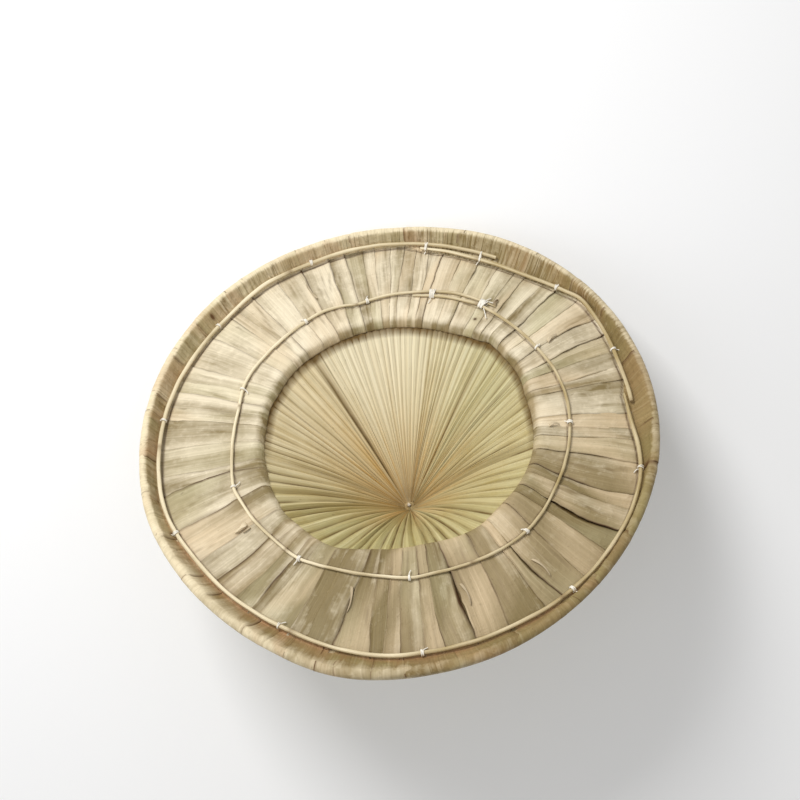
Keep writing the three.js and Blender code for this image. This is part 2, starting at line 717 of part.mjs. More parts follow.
add("fan_leaf", fanLeaf(), fanLeafFinish);
add("brim_strips", leafStrips(), stripFinish);
add("rim_binding", rimBinding(), bindingFinish);
add("stalk_stub", stalkStub(), stubFinish);
add("apex_knot", apexKnot(), threadFinish);
add("outer_hoop_long", cane(OUTER_HOOP, OUTER_CANE_LONG), caneFinish);
add("outer_hoop_short", cane(OUTER_HOOP, OUTER_CANE_SHORT), caneFinish);
add("inner_hoop", cane(INNER_HOOP, INNER_CANE), caneFinish);
addTies("outer_tie", OUTER_HOOP, OUTER_TIES);
addTies("inner_tie", INNER_HOOP, INNER_TIES);

// Lean the hat over on to its far edge, and set it on the table
const stubContactY = stubContact.x * Math.cos(radians(stubFaceHalf));
hat.rotation.x = -lean;
hat.position.z = stubContactY * Math.sin(lean) - stubContact.y * Math.cos(lean);

// Bring the middle of its bounding box over the origin
hat.updateMatrixWorld(true);
const middle = new THREE.Box3().setFromObject(hat, true).getCenter(new THREE.Vector3());
hat.position.x -= middle.x;
hat.position.y -= middle.y;

const part = new THREE.Group();
part.add(hat);
export default part;
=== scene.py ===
"""The looks of the salakot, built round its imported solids.

The hat is drawn round its own axis in millimetres: x to the right, y away, z out of the head opening, and
z = 0 in the plane of the rim. Azimuths are in degrees from +x towards +y. REST then leans it on to the table,
in metres.
"""

import math
from types import SimpleNamespace

import bpy
import numpy as np
from mathutils import Matrix, Vector


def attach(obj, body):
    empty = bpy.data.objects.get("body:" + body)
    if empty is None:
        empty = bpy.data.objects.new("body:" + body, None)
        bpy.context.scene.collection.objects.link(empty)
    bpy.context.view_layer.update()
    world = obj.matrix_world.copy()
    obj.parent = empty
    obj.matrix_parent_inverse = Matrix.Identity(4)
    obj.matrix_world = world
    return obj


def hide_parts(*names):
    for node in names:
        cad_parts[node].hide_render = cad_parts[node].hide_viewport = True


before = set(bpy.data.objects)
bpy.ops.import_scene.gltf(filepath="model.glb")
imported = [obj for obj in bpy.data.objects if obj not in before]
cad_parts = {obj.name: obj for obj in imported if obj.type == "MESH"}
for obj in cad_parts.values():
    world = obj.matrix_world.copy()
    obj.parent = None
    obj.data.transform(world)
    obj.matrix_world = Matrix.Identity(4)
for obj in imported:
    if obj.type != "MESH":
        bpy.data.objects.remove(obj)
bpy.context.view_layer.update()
random = np.random.default_rng(332)

# Sizes, as in the part's source
RIM = 200.0
RIM_ROLL = 3.6
RIM_LIFT = 3.6
OPENING = 104.0
OPENING_DROP = 12.4
ROLL = 8.0
CROWN_DEPTH = 137.0
CROWN_HOLLOWING = 8.0
OUTER_HOOP = 184.4
INNER_HOOP = 129.0
OUTER_LEVEL = -11.3
INNER_LEVEL = -5.95
ROLL_LEVEL = -5.1
BRIM_ARCH = 0.8
REST_LEVEL = -13.05
REST_HALF_WIDTH = 2.0
LEAN = math.radians(33.2288)
REST = (
    Matrix.Diagonal((0.001, 0.001, 0.001, 1))
    @ Matrix.Translation((0.8, 3.05, 116.7385))
    @ Matrix.Rotation(-LEAN, 4, "X")
)
TURNED = np.array(REST.to_3x3()) * 1000

# The sheets as drawn: their walls, and how far short of the rim's fold they end
STRIP_WALL = 0.7
SLIVER_WALL = 0.3
WRAP_WALL = 0.9
FAN_WALL = 1.2
STUB_WALL = 0.9
STRIP_GAP = 1.2
FAN_GAP = 1.4

# How far a strip and a wrap go under the next one in degrees, the share of a strip's length that lies before
# the roll, and how far the strip goes round that
STRIP_UNDERLAP = 0.9
WRAP_UNDERLAP = 1.6
FLAT_SHARE = 0.8
ROLL_TURN = math.radians(96)

# The fan leaf: its pleats, how far it lies under the strips and the roll, the share of its way at which it
# starts, and its level in the crown's tip, with the knot a little over it
PLEATS = 88
DEEPEST_PLEAT = 3.2
FAN_UNDER_STRIPS = 1.9
FAN_UNDER_ROLL = 0.6
FAN_START = 0.012
FAN_TIP_LEVEL = -130.4
KNOT_LEVEL = -129.0

# Points of the sheets, along and across, and how much further on in the veins' pattern each strip and each wrap
# starts, in metres
STRIP_POINTS = (92, 16)
SLIVER_POINTS = (22, 5)
WRAP_POINTS = 50
WRAP_POINTS_PER_DEGREE = 3.1
CROWN_POINTS = 40
BRIM_POINTS = 12
PLEAT_POINTS = 8
STUB_POINTS = (30, 97)
STRIP_SHIFT = 0.37
WRAP_SHIFT = (0.53, 0.31)

# Distances from the axis round the hat, as shares of the rim's radius
RIM_EDGE = (
    (0, 0.989), (30, 0.998), (45, 1.0045), (57, 1.007), (75, 0.999), (90, 0.9965), (105, 0.999),
    (122, 1.005), (150, 1.003), (180, 0.999), (195, 1.002), (210, 0.996), (225, 0.9975), (236, 1.005),
    (250, 1.023), (262, 1.017), (270, 1.01), (285, 1.003), (300, 0.994), (315, 0.988), (330, 0.987),
    (345, 0.99),
)
OPENING_EDGE = (
    (0, 0.516), (10, 0.516), (15, 0.526), (20, 0.532), (30, 0.537), (38, 0.545), (41, 0.547), (44, 0.535),
    (50, 0.525), (55, 0.516), (60, 0.511), (75, 0.508), (90, 0.509), (110, 0.51), (120, 0.512),
    (130, 0.518), (140, 0.52), (150, 0.518), (157, 0.524), (166, 0.518), (180, 0.522), (190, 0.523),
    (197, 0.53), (205, 0.533), (210, 0.539), (220, 0.535), (230, 0.539), (238, 0.535), (245, 0.52),
    (252, 0.508), (262, 0.5), (275, 0.496), (285, 0.505), (295, 0.514), (310, 0.506), (325, 0.515),
    (340, 0.52), (350, 0.518),
)
OUTER_LONG = (
    (56, 0.93), (60, 0.929), (70, 0.931), (80, 0.935), (90, 0.935), (105, 0.932), (115, 0.935),
    (120, 0.937), (124, 0.931), (130, 0.925), (140, 0.922), (150, 0.923), (160, 0.928), (170, 0.93),
    (180, 0.932), (190, 0.935), (200, 0.925), (205, 0.915), (210, 0.91), (220, 0.905), (240, 0.905),
    (250, 0.915), (255, 0.92), (262, 0.924), (270, 0.918), (280, 0.918), (290, 0.92), (300, 0.928),
    (310, 0.934), (320, 0.937), (330, 0.938), (339, 0.93), (345, 0.915), (350, 0.895), (356, 0.885),
    (361, 0.883),
)
OUTER_SHORT = (
    (357.5, 0.906), (360, 0.906), (365, 0.907), (370, 0.911), (375, 0.92), (380, 0.93), (385, 0.94),
    (391, 0.948), (395, 0.935), (400, 0.92), (405, 0.905), (410, 0.898), (418, 0.895), (425, 0.898),
    (430, 0.905), (437, 0.914),
)
INNER_CANE = (
    (47, 0.69), (52, 0.688), (56, 0.689), (60, 0.688), (65, 0.682), (70, 0.675), (75, 0.665), (80, 0.657),
    (85, 0.652), (90, 0.645), (93, 0.638), (97, 0.63), (103, 0.645), (108, 0.655), (120, 0.653),
    (135, 0.65), (152, 0.655), (160, 0.64), (170, 0.637), (180, 0.645), (190, 0.658), (194, 0.665),
    (200, 0.66), (210, 0.655), (220, 0.65), (229, 0.653), (235, 0.645), (240, 0.637), (250, 0.63),
    (260, 0.633), (267, 0.64), (275, 0.638), (285, 0.642), (290, 0.648), (300, 0.657), (307, 0.663),
    (315, 0.66), (325, 0.655), (335, 0.655), (345, 0.657), (353, 0.66), (365, 0.663), (375, 0.66),
    (380, 0.657), (390, 0.655), (400, 0.657), (408, 0.661), (412, 0.666), (420, 0.66), (425, 0.655),
    (430, 0.65), (438, 0.643),
)

# The brim's leaf strips, from each raised edge on: its azimuth at the rim, between the hoops and at the
# opening, how high it stands over its neighbour, its tone (0 deep, 1 pale; lower on the near side as painted
# shade) and how brown its edge is
STRIPS = (
    (5, 5, 5, 0.5, 0.75, 0.2), (9.3, 8, 8, 0.5, 0.7, 0.2), (14, 13.5, 13, 0.5, 0.8, 0.2),
    (19.5, 18.5, 16.5, 1.0, 0.7, 0.6), (24, 25, 22.5, 0.9, 0.85, 0.5), (31, 30.7, 29.5, 0.5, 0.8, 0.2),
    (37.5, 36.5, 35.5, 1.0, 0.75, 0.6), (41.5, 41.2, 40.5, 0.5, 0.85, 0.2), (46.5, 46, 44.5, 0.8, 0.9, 0.3),
    (50, 49, 48, 0.6, 0.7, 0.2), (54.5, 53.7, 52, 0.6, 0.85, 0.2), (60, 59.7, 59, 1.0, 0.8, 0.5),
    (65, 65, 64.5, 0.5, 0.9, 0.2), (69.5, 71, 71.5, 1.0, 0.8, 0.9), (74.5, 74, 74.5, 0.7, 0.9, 0.4),
    (78, 77.5, 78.5, 0.7, 0.75, 0.3), (81, 82, 83, 0.6, 0.95, 0.3), (84.5, 85, 86.5, 0.4, 0.85, 0.2),
    (89, 89, 90, 0.6, 0.9, 0.3), (92, 92.5, 93.5, 0.5, 0.75, 0.2), (96.7, 97, 97.5, 1.0, 0.8, 0.6),
    (101.5, 102, 104, 1.0, 0.7, 0.8), (109, 110, 110.5, 1.0, 0.9, 0.9), (116, 117, 118, 0.6, 1.0, 0.3),
    (124, 125, 126.5, 1.0, 0.85, 0.8), (129.5, 130, 130.5, 0.5, 0.7, 0.3),
    (132.5, 133, 133.8, 0.7, 0.85, 0.8), (139.5, 140, 141, 0.6, 0.8, 0.3),
    (149.5, 149.8, 150, 0.8, 0.85, 0.3), (154, 154, 155, 0.4, 0.75, 0.2), (158, 158.5, 159, 0.8, 0.6, 0.7),
    (162.5, 163, 164, 0.5, 0.75, 0.2), (166.5, 167, 169.5, 0.8, 0.8, 0.3),
    (175, 175.3, 176, 0.5, 0.85, 0.2), (183, 184, 184, 0.7, 0.8, 0.3), (189, 187, 189.5, 1.0, 0.7, 1.0),
    (198.5, 198.5, 197, 1.0, 0.75, 0.7), (208.5, 209, 209.7, 1.0, 0.8, 0.6),
    (214, 216.5, 214.8, 0.8, 0.6, 1.0), (217, 218.5, 219.5, 0.6, 0.7, 0.4), (221, 223, 224, 0.8, 0.65, 0.3),
    (226, 227.5, 228, 1.16, 0.6, 0.9), (229, 230.5, 232.5, 0.8, 0.65, 0.3), (237, 238, 239, 0.8, 0.6, 0.3),
    (241, 242, 243.5, 0.4, 0.55, 0.2), (247, 249.5, 252.8, 1.2, 0.6, 1.0),
    (256.5, 256, 256, 1.0, 0.55, 0.6), (259, 260, 260, 0.7, 0.6, 0.4), (262.5, 263.5, 264.5, 0.8, 0.6, 0.9),
    (268.5, 269, 270, 1.0, 0.6, 0.7), (273.5, 272.5, 274, 0.9, 0.55, 0.9), (280, 280, 279, 1.3, 0.6, 1.0),
    (288, 289, 291.5, 1.0, 0.55, 0.5), (297, 297.5, 298, 0.8, 0.5, 0.3),
    (302, 300.5, 301.5, 1.15, 0.6, 0.9), (308.5, 309.5, 312, 0.8, 0.55, 0.3),
    (317, 317.3, 318.5, 0.6, 0.6, 0.3), (322.5, 321, 323, 1.3, 0.55, 0.9), (328.5, 328, 329, 0.5, 0.6, 0.2),
    (332.5, 331, 333, 1.0, 0.6, 0.7), (341, 340.5, 340, 0.8, 0.65, 0.4), (347, 346.8, 346, 0.6, 0.7, 0.3),
    (350.5, 350, 350.5, 0.4, 0.65, 0.2), (355, 355, 354, 0.6, 0.75, 0.3),
)

# The rim's wraps, from each raised edge on: azimuth, how high it stands, tone (lower on the near side as
# painted shade) and brownness
WRAPS = (
    (8, 0.6, 0.6, 0.4), (22, 1.0, 0.7, 0.4), (33, 0.4, 0.6, 0.3), (47, 0.8, 0.7, 0.4),
    (49.5, 0.6, 0.6, 0.5), (66, 0.8, 0.7, 0.6), (69.5, 0.6, 0.7, 0.6), (80, 0.4, 0.8, 0.3),
    (93, 0.6, 0.8, 0.4), (101, 0.7, 0.8, 0.4), (108, 0.8, 0.9, 0.4), (116, 0.7, 0.9, 0.3),
    (123, 0.8, 0.8, 0.5), (128, 1.2, 0.8, 0.8), (138, 0.4, 0.8, 0.2), (149, 0.8, 0.9, 0.4),
    (161, 0.7, 0.8, 0.4), (167, 0.9, 0.7, 0.6), (178, 0.4, 0.7, 0.3), (188, 0.9, 0.8, 0.6),
    (199, 0.5, 0.7, 0.3), (211, 0.9, 0.7, 0.5), (216.5, 0.7, 0.6, 0.5), (229.5, 0.8, 0.6, 0.5),
    (234, 0.6, 0.7, 0.4), (239, 0.8, 0.6, 0.5), (246.2, 1.4, 0.6, 0.9), (250.5, 0.8, 0.6, 0.5),
    (257, 0.9, 0.7, 0.5), (264, 1.1, 0.5, 0.9), (274, 0.9, 0.6, 0.6), (286.5, 0.8, 0.6, 0.4),
    (297, 0.9, 0.5, 0.5), (302, 0.7, 0.6, 0.4), (308, 0.9, 0.6, 0.5), (320, 0.5, 0.6, 0.3),
    (339, 1.0, 0.6, 0.6), (349, 0.8, 0.6, 0.5),
)

# How pale the strips and the wraps are round the hat: partly the leaf's own tone and partly painted light
# and shade, paler towards the far side and darker towards the near side
BRIM_TONES = (
    (0, 0.44), (45, 0.75), (70, 0.73), (95, 0.68), (120, 0.86), (145, 0.89), (180, 0.56), (225, 0.34),
    (270, 0.04), (315, 0.02), (340, 0.26),
)
RIM_TONES = (
    (0, -0.48), (45, 0.0), (90, 0.5), (135, 0.2), (180, 0.05), (225, -0.1), (250, -0.34), (270, -0.56),
    (315, -0.66), (340, -0.58),
)

# The fan leaf round the crown: azimuth, tone, green, ochre, and how deep its pleats are pressed. The tone is
# painted paler on the far side and darker on the near side, as painted light and shade
FAN_TONES = (
    (0, 0.5, 0.45, 0.1, 1.0), (30, 0.6, 0.55, 0.0, 0.85), (60, 0.85, 0.25, 0.05, 0.65),
    (90, 1.1, 0.0, 0.05, 0.55), (115, 1.05, 0.0, 0.1, 0.55), (130, 0.85, 0.05, 0.3, 0.65),
    (150, 0.86, 0.05, 0.3, 0.75), (180, 0.72, 0.2, 0.24, 0.95), (205, 0.42, 0.5, 0.15, 1.15),
    (235, 0.28, 0.68, 0.05, 1.3), (270, 0.3, 0.66, 0.1, 1.3), (300, 0.3, 0.6, 0.1, 1.25),
    (330, 0.38, 0.5, 0.1, 1.15),
)

# Ties: azimuth, and how many canes they hold
OUTER_TIES = (
    (13.5, 1), (37.5, 1), (60, 2), (75, 2), (106, 1), (136.5, 1), (167.5, 1), (199.5, 1), (235, 1),
    (268, 1), (304, 1), (339, 1),
)
INNER_TIES = (
    (24.5, 1), (51.5, 2), (70, 2), (94, 1), (118, 1), (154, 1), (193.5, 1), (229.5, 1), (266.5, 1),
    (307.5, 1), (351.5, 1),
)

# Torn slivers: azimuth, radius of the root, reach, width and arch in millimetres, tone and brownness
SLIVERS = (
    (207.6, 137, 11, 3.6, 2.0, 1.1, 0.0), (209.4, 136, 7, 1.6, 1.0, 0.6, 0.4),
    (24.8, 142, 10, 2.8, 1.8, 0.9, 0.2), (350.4, 116, 8, 2.4, 2.0, 0.9, 0.2),
    (109.6, 148, 20, 1.2, 1.3, 0.8, 0.4), (248.8, 136, 20, 1.8, 1.4, 0.6, 0.4),
    (281.2, 140, 18, 1.6, 1.4, 0.6, 0.4), (47.8, 139, 7, 2.4, 1.4, 0.2, 0.8),
    (302.4, 150, 18, 1.5, 1.3, 0.6, 0.3),
)

# Deep folds of the fan leaf, painted with shade and the leaf's brown along them, by azimuth and strength
DEEP_FOLDS = (
    (125, 1.0), (182, 0.5), (198, 0.4), (209, 0.4), (246, 0.5), (276, 0.5), (290, 0.4), (306, 0.5),
    (327, 0.4), (345, 0.5), (68, 0.15), (148, 0.2), (20, 0.4), (40, 0.5),
)

# Small holes pierced beside the ties: azimuth, radius and size in millimetres
HOLES = ((135.9, 192.3, 1.7), (199, 188.2, 1.5), (339.9, 189.8, 1.1), (93.7, 134, 0.9), (50.7, 119.7, 1.4))


def around(table, azimuth, column=1):
    """Smooth values round a closed table whose rows start with an azimuth."""
    rows = sorted((row[0] % 360, row[column]) for row in table)
    places = np.array([rows[-1][0] - 360, *[r[0] for r in rows], rows[0][0] + 360, rows[1][0] + 360])
    levels = np.array([rows[-1][1], *[r[1] for r in rows], rows[0][1], rows[1][1]])
    return hermite(places, levels, np.mod(azimuth, 360.0))


def along(table, azimuth, column=1):
    """Smooth values along an open table whose rows start with an azimuth."""
    places, levels = (np.array([row[k] for row in table], float) for k in (0, column))
    return hermite(places, levels, azimuth)


def hermite(places, levels, at):
    """Smooth values through levels at rising places."""
    at = np.clip(np.asarray(at, float), places[0], places[-1])
    k = np.clip(np.searchsorted(places, at, side="right") - 1, 0, len(places) - 2)
    slopes = np.gradient(levels, places)
    h = places[k + 1] - places[k]
    t = (at - places[k]) / h
    a = (1 + 2 * t) * (1 - t) ** 2
    b = t * (1 - t) ** 2 * h
    c = t * t * (3 - 2 * t)
    d = t * t * (t - 1) * h
    return a * levels[k] + b * slopes[k] + c * levels[k + 1] + d * slopes[k + 1]


def smoothstep(low, high, x):
    t = np.clip((x - low) / (high - low), 0, 1)
    return t * t * (3 - 2 * t)


def fade(away, size):
    """1 at no distance, and less with distance over a size."""
    return np.exp(-((away / size) ** 2))


def facing(azimuth, towards):
    """1 where the hat's side lies towards an azimuth, and -1 opposite it."""
    return np.cos(np.radians(azimuth - towards))


def wander(seed, at, size, pace):
    """Smooth random values along a line, about +-size, changing over pace."""
    source = np.random.default_rng(seed)
    at = np.asarray(at, float) / pace
    total = np.zeros_like(at)
    for octave in (1.0, 2.1):
        phases = source.uniform(0, 2 * math.pi, 3)
        rates = source.uniform(0.6, 1.5, 3) * octave
        total = total + sum(np.sin(rates[i] * at + phases[i]) for i in range(3)) / (2.2 * octave)
    return size * total


def rim_edge(azimuth):
    return RIM * around(RIM_EDGE, azimuth)


def opening_edge(azimuth):
    return RIM * around(OPENING_EDGE, azimuth)


def slot_edge(azimuth):
    """Radius of the slot in the rim's fold, where both layers of leaf end."""
    return rim_edge(azimuth) - 2 * RIM_ROLL


def brim_level(radius, azimuth):
    """Height of the strips between the opening's roll and the rim."""
    foot = OPENING + ROLL
    inner = ROLL_LEVEL + (INNER_LEVEL - ROLL_LEVEL) * np.clip((radius - foot) / (INNER_HOOP - foot), 0, 1)
    t = np.clip((radius - INNER_HOOP) / (OUTER_HOOP - INNER_HOOP), 0, 1)
    lift = RIM_LIFT * np.maximum(radius - OUTER_HOOP, 0) / (slot_edge(azimuth) - OUTER_HOOP)
    return inner + (OUTER_LEVEL - INNER_LEVEL) * t + BRIM_ARCH * np.sin(math.pi * t) + lift


def polar(radius, azimuth, height):
    """Points of the hat's own frame."""
    a = np.radians(azimuth)
    return np.stack([radius * np.cos(a), radius * np.sin(a), height * np.ones_like(a)], -1)


def rested(points):
    """Points of the hat's own frame, taken to the row's frame."""
    m = np.array(REST)
    return np.asarray(points) @ m[:3, :3].T + m[:3, 3]


def placed(name, data):
    """A new object in the scene."""
    thing = bpy.data.objects.new(name, data)
    bpy.context.scene.collection.objects.link(thing)
    return thing


class Pile:
    """Sheets gathered into one mesh, with their own runs (across, along in metres) and finish values."""

    def __init__(self):
        self.points, self.faces, self.runs, self.values = [], [], [], {}
        self.count = 0

    def grid(self, upper, lower, across, length, **values):
        """A sheet with thickness: two grids of points over each other, closed at their edges."""
        m, n = upper.shape[:2]
        start = self.count
        ids = start + np.arange(m * n).reshape(m, n)
        low = ids + m * n
        quad = lambda a: np.stack([a[:-1, :-1], a[1:, :-1], a[1:, 1:], a[:-1, 1:]], -1).reshape(-1, 4)
        faces = [quad(ids), quad(low)[:, ::-1]]
        ring = np.concatenate([ids[0, :-1], ids[:-1, -1], ids[-1, :0:-1], ids[:0:-1, 0]])
        below = ring + m * n
        ahead = np.roll(ring, -1)
        faces.append(np.stack([ring, ahead, ahead + m * n, below], -1))
        self.points += [upper.reshape(-1, 3), lower.reshape(-1, 3)]
        self.faces += faces
        spread = lambda value: np.broadcast_to(value, (m, n))
        run = np.stack([spread(across), spread(length)], -1).reshape(-1, 2)
        self.runs += [run, run]
        for key, value in values.items():
            sides = value if isinstance(value, tuple) else (value, value)
            self.values.setdefault(key, []).extend(spread(side).reshape(-1) for side in sides)
        self.count += 2 * m * n

    def made(self, name, material, at_rest=True):
        """The piece: laid at rest and pressed flat on the table, or left in the hat's own frame."""
        mesh = bpy.data.meshes.new(name)
        points = np.concatenate(self.points)
        if at_rest:
            points = rested(points)
            points[:, 2] = np.maximum(points[:, 2], 0)
        faces = np.concatenate(self.faces)
        mesh.from_pydata(points.tolist(), [], faces.tolist())
        runs = np.concatenate(self.runs)
        layer = mesh.uv_layers.new(name="Run")
        corners = np.empty(len(mesh.loops), np.int32)
        mesh.loops.foreach_get("vertex_index", corners)
        layer.data.foreach_set("uv", runs[corners].astype(np.float32).ravel())
        for key, parts in self.values.items():
            data = mesh.attributes.new(key, "FLOAT", "POINT").data
            data.foreach_set("value", np.concatenate(parts).astype(np.float32))
        mesh.polygons.foreach_set("use_smooth", np.ones(len(mesh.polygons), bool))
        mesh.materials.append(material)
        return placed(name, mesh)


# Materials

class Value:
    """A socket of a node tree. Arithmetic on it adds Math nodes."""

    def __init__(self, board, socket):
        self.board, self.socket = board, socket

    def maths(self, operation, *others, clamp=False):
        return self.board.add("Math", {"operation": operation, "use_clamp": clamp}, (self, *others))

    def __add__(self, other):
        return self.maths("ADD", other)

    __radd__ = __add__

    def __mul__(self, other):
        return self.maths("MULTIPLY", other)

    __rmul__ = __mul__

    def __sub__(self, other):
        return self.maths("SUBTRACT", other)

    def __rsub__(self, other):
        return self.board.add("Math", {"operation": "SUBTRACT"}, (other, self))

    def __truediv__(self, other):
        return self.maths("DIVIDE", other)

    def __rtruediv__(self, other):
        return self.board.add("Math", {"operation": "DIVIDE"}, (other, self))

    def __pow__(self, other):
        return self.maths("POWER", other)

    def clamped(self):
        return self.maths("MULTIPLY", 1.0, clamp=True)


class Board:
    """A node tree, and one way to add any node to it."""

    def __init__(self, tree, family="Shader"):
        self.tree, self.family = tree, family

    def feed(self, socket, value):
        """Links a value to a socket, or sets the socket to it."""
        if isinstance(value, Value):
            self.tree.links.new(value.socket, socket)
        else:
            socket.default_value = value

    def add(self, kind, settings=None, values=(), out=0):
        """A new node's output. Its settings are made first, and then its sockets are fed by name or place."""
        if not kind.startswith("Function"):
            shared = kind in ("Math", "MapRange", "Mix", "CombineXYZ")
            kind = ("Shader" if shared else self.family) + "Node" + kind
        node = self.tree.nodes.new(kind)
        for key, value in (settings or {}).items():
            setattr(node, key, value)
        for key, value in values.items() if isinstance(values, dict) else enumerate(values):
            self.feed(node.inputs[key], value)
        return Value(self, node.outputs[out])

    def vector(self, x, y, z=0.0):
        return self.add("CombineXYZ", {}, {"X": x, "Y": y, "Z": z})

    def mix(self, share, first, second, blend="MIX"):
        """A mix of two colours."""
        first, second = ((*colour, 1) if isinstance(colour, tuple) else colour for colour in (first, second))
        settings = {"data_type": "RGBA", "blend_type": blend}
        return self.add("Mix", settings, {0: share, 6: first, 7: second}, out=2)


def srgb(red, green, blue):
    """A colour given as it looks on a screen, 0 to 255."""
    linear = lambda c: c / 12.92 if c <= 0.04045 else ((c + 0.055) / 1.055) ** 2.4
    return tuple(linear(c / 255) for c in (red, green, blue))


def leaf_finish(
    name, pale, deep, brown, veins, roughness, relief, green=None, warm=None, crumple=0.0, grain=1.0,
    lines=0.0, creased=False,
):
    """Dry leaf. Tone picks between deep and pale, the other values add tints, and the veins run along it.

    veins is how many lie across a metre, and relief is how high they stand in metres.
    """
    material = bpy.data.materials.new(name)
    material.use_nodes = True
    board = Board(material.node_tree)
    shader = material.node_tree.nodes["Principled BSDF"]
    value = lambda key: board.add("Attribute", {"attribute_name": key}, out="Fac")
    run = board.add("UVMap", {"uv_map": "Run"})
    place = board.add("TexCoord", out="Object")
    stretch = lambda across, length: board.add("Mapping", {}, {"Vector": run, "Scale": (across, length, 1)})
    noise = lambda vector, detail, scale=1.0: board.add(
        "TexNoise", {}, {"Vector": vector, "Scale": scale, "Detail": detail, "Roughness": 0.55}
    )
    span = lambda low, high, top, field: board.add("MapRange", {}, (field, low, high, 0.0, top))
    fine = noise(stretch(veins, 7.0), 3.0)
    streaks = noise(stretch(veins * 0.22, 4.0), 2.0)
    specks = noise(stretch(veins * 0.6, 160.0), 2.0)
    drawn = noise(stretch(veins * 0.3, 9.0), 1.0)
    blotch = noise(place, 3.0, 45.0)
    folded = noise(board.add("Mapping", {}, {"Vector": place, "Scale": (1.0, 1.0, 1.6)}), 4.0, 210.0)
    ridge = 1 - ((folded - 0.5) * 5.0).maths("ABSOLUTE").clamped()
    line = 1 - ((drawn - 0.5) * 16.0).maths("ABSOLUTE").clamped()
    if creased:
        line = line * value("Creased")
    # Painted light and shade on the relief: paler where the crumples stand up, darker in their grooves and
    # lines
    tone = (
        value("Tone") + (streaks - 0.5) * 0.65 + (blotch - 0.5) * 1.0 + (folded - 0.5) * (1.6 * crumple)
        - ridge * (0.25 * crumple) - line * lines
    ).clamped()
    base = board.mix(tone, deep, pale)
    if green:
        base = board.mix((value("Green") * (0.4 + blotch * 1.1)).clamped(), base, green)
    if warm:
        base = board.mix((value("Warm") * (0.3 + streaks * 1.3)).clamped(), base, warm)
    base = board.mix(span(0.60, 0.40, 0.26 * grain, fine), base, deep, "MULTIPLY")
    base = board.mix(span(0.60, 0.74, 0.22 * grain, fine), base, srgb(244, 234, 208))
    # The brown mix is the leaf's own brown and specks, and the painted shade that pieces put in the brown value
    brown_and_shade = (value("Brown") * (0.5 + blotch) + span(0.68, 0.8, 0.45, specks)).clamped()
    board.feed(shader.inputs["Base Color"], board.mix(brown_and_shade, base, brown))
    board.feed(shader.inputs["Roughness"], roughness + (fine - 0.5) * 0.2 + (blotch - 0.5) * 0.15)
    height = (
        fine * (0.6 * grain) + streaks * 0.45 + blotch * 0.8 + folded * (5.0 * crumple)
        - ridge * (0.8 * crumple) - line * (1.2 * lines)
    )
    bump = board.add("Bump", {}, {"Strength": 0.7, "Distance": relief, "Height": height})
    board.feed(shader.inputs["Normal"], bump)
    board.feed(shader.inputs["Specular IOR Level"], 0.32)
    return material


strip_finish = leaf_finish(
    "leaf strip", srgb(231, 218, 190), srgb(134, 117, 77), srgb(80, 54, 28), 900, 0.6, 0.0006,
    green=srgb(198, 190, 150), warm=srgb(220, 197, 160), crumple=0.3, grain=0.55, lines=0.1,
)
fan_finish = leaf_finish(
    "fan leaf", srgb(244, 235, 206), srgb(178, 158, 102), srgb(108, 84, 42), 900, 0.62, 0.0005,
    green=srgb(182, 178, 122), warm=srgb(228, 196, 132), crumple=0.05, lines=0.22,
)
rim_finish = leaf_finish(
    "rim leaf", srgb(234, 219, 184), srgb(140, 120, 76), srgb(100, 70, 38), 800, 0.62, 0.0008,
    green=srgb(166, 154, 102), warm=srgb(190, 148, 106), crumple=0.28, grain=0.6, lines=0.45, creased=True,
)
cane_finish = leaf_finish(
    "split cane", srgb(248, 235, 202), srgb(180, 160, 112), srgb(112, 84, 48), 1500, 0.42, 0.0003, lines=0.2
)
thread_finish = leaf_finish(
    "white thread", srgb(246, 242, 232), srgb(218, 208, 188), srgb(150, 120, 84), 2600, 0.85, 0.0002
)
stalk_finish = leaf_finish(
    "leaf stalk", srgb(160, 124, 76), srgb(112, 80, 44), srgb(60, 40, 22), 900, 0.7, 0.0006, crumple=0.4
)


# Geometry Nodes

def open_tree(name, sockets):
    """The board of a new Geometry Nodes tree with named inputs, and a way to take one of them."""
    tree = bpy.data.node_groups.new(name, "GeometryNodeTree")
    for title, kind, default in sockets:
        socket = tree.interface.new_socket(title, in_out="INPUT", socket_type="NodeSocket" + kind)
        if default is not None:
            socket.default_value = default
    tree.interface.new_socket("Geometry", in_out="OUTPUT", socket_type="NodeSocketGeometry")
    board = Board(tree, "Geometry")
    given = tree.nodes.new("NodeGroupInput")
    return board, lambda title: Value(board, given.outputs[title])


def attribute(board, key, kind="FLOAT"):
    return board.add("InputNamedAttribute", {"data_type": kind}, {"Name": key})


def stored(board, geometry, key, value, kind="FLOAT", domain="POINT"):
    """The geometry with a value kept on it as an attribute."""
    values = {"Geometry": geometry, "Name": key, "Value": value}
    return board.add("StoreNamedAttribute", {"data_type": kind, "domain": domain}, values)


def close_tree(board, geometry, finish):
    """The end of each tree: real geometry with its finish."""
    real = board.add("RealizeInstances", {}, {"Geometry": geometry})
    finished = board.add("SetMaterial", {}, {"Geometry": real, "Material": finish})
    out = board.tree.nodes.new("NodeGroupOutput")
    board.feed(out.inputs[0], finished)
    return board.tree


def evaluated(name, source, tree, inputs, smooth=True):
    """The plain mesh that a Geometry Nodes tree makes from a source object, which it replaces."""
    modifier = source.modifiers.new("grown", "NODES")
    modifier.node_group = tree
    ids = {item.name: item.identifier for item in tree.interface.items_tree if item.in_out == "INPUT"}
    for key, value in inputs.items():
        modifier[ids[key]] = value
    depsgraph = bpy.context.evaluated_depsgraph_get()
    made = bpy.data.meshes.new_from_object(source.evaluated_get(depsgraph))
    made.name = name
    source.modifiers.remove(modifier)
    bpy.data.objects.remove(source)
    made.polygons.foreach_set("use_smooth", np.full(len(made.polygons), smooth))
    return placed(name, made)


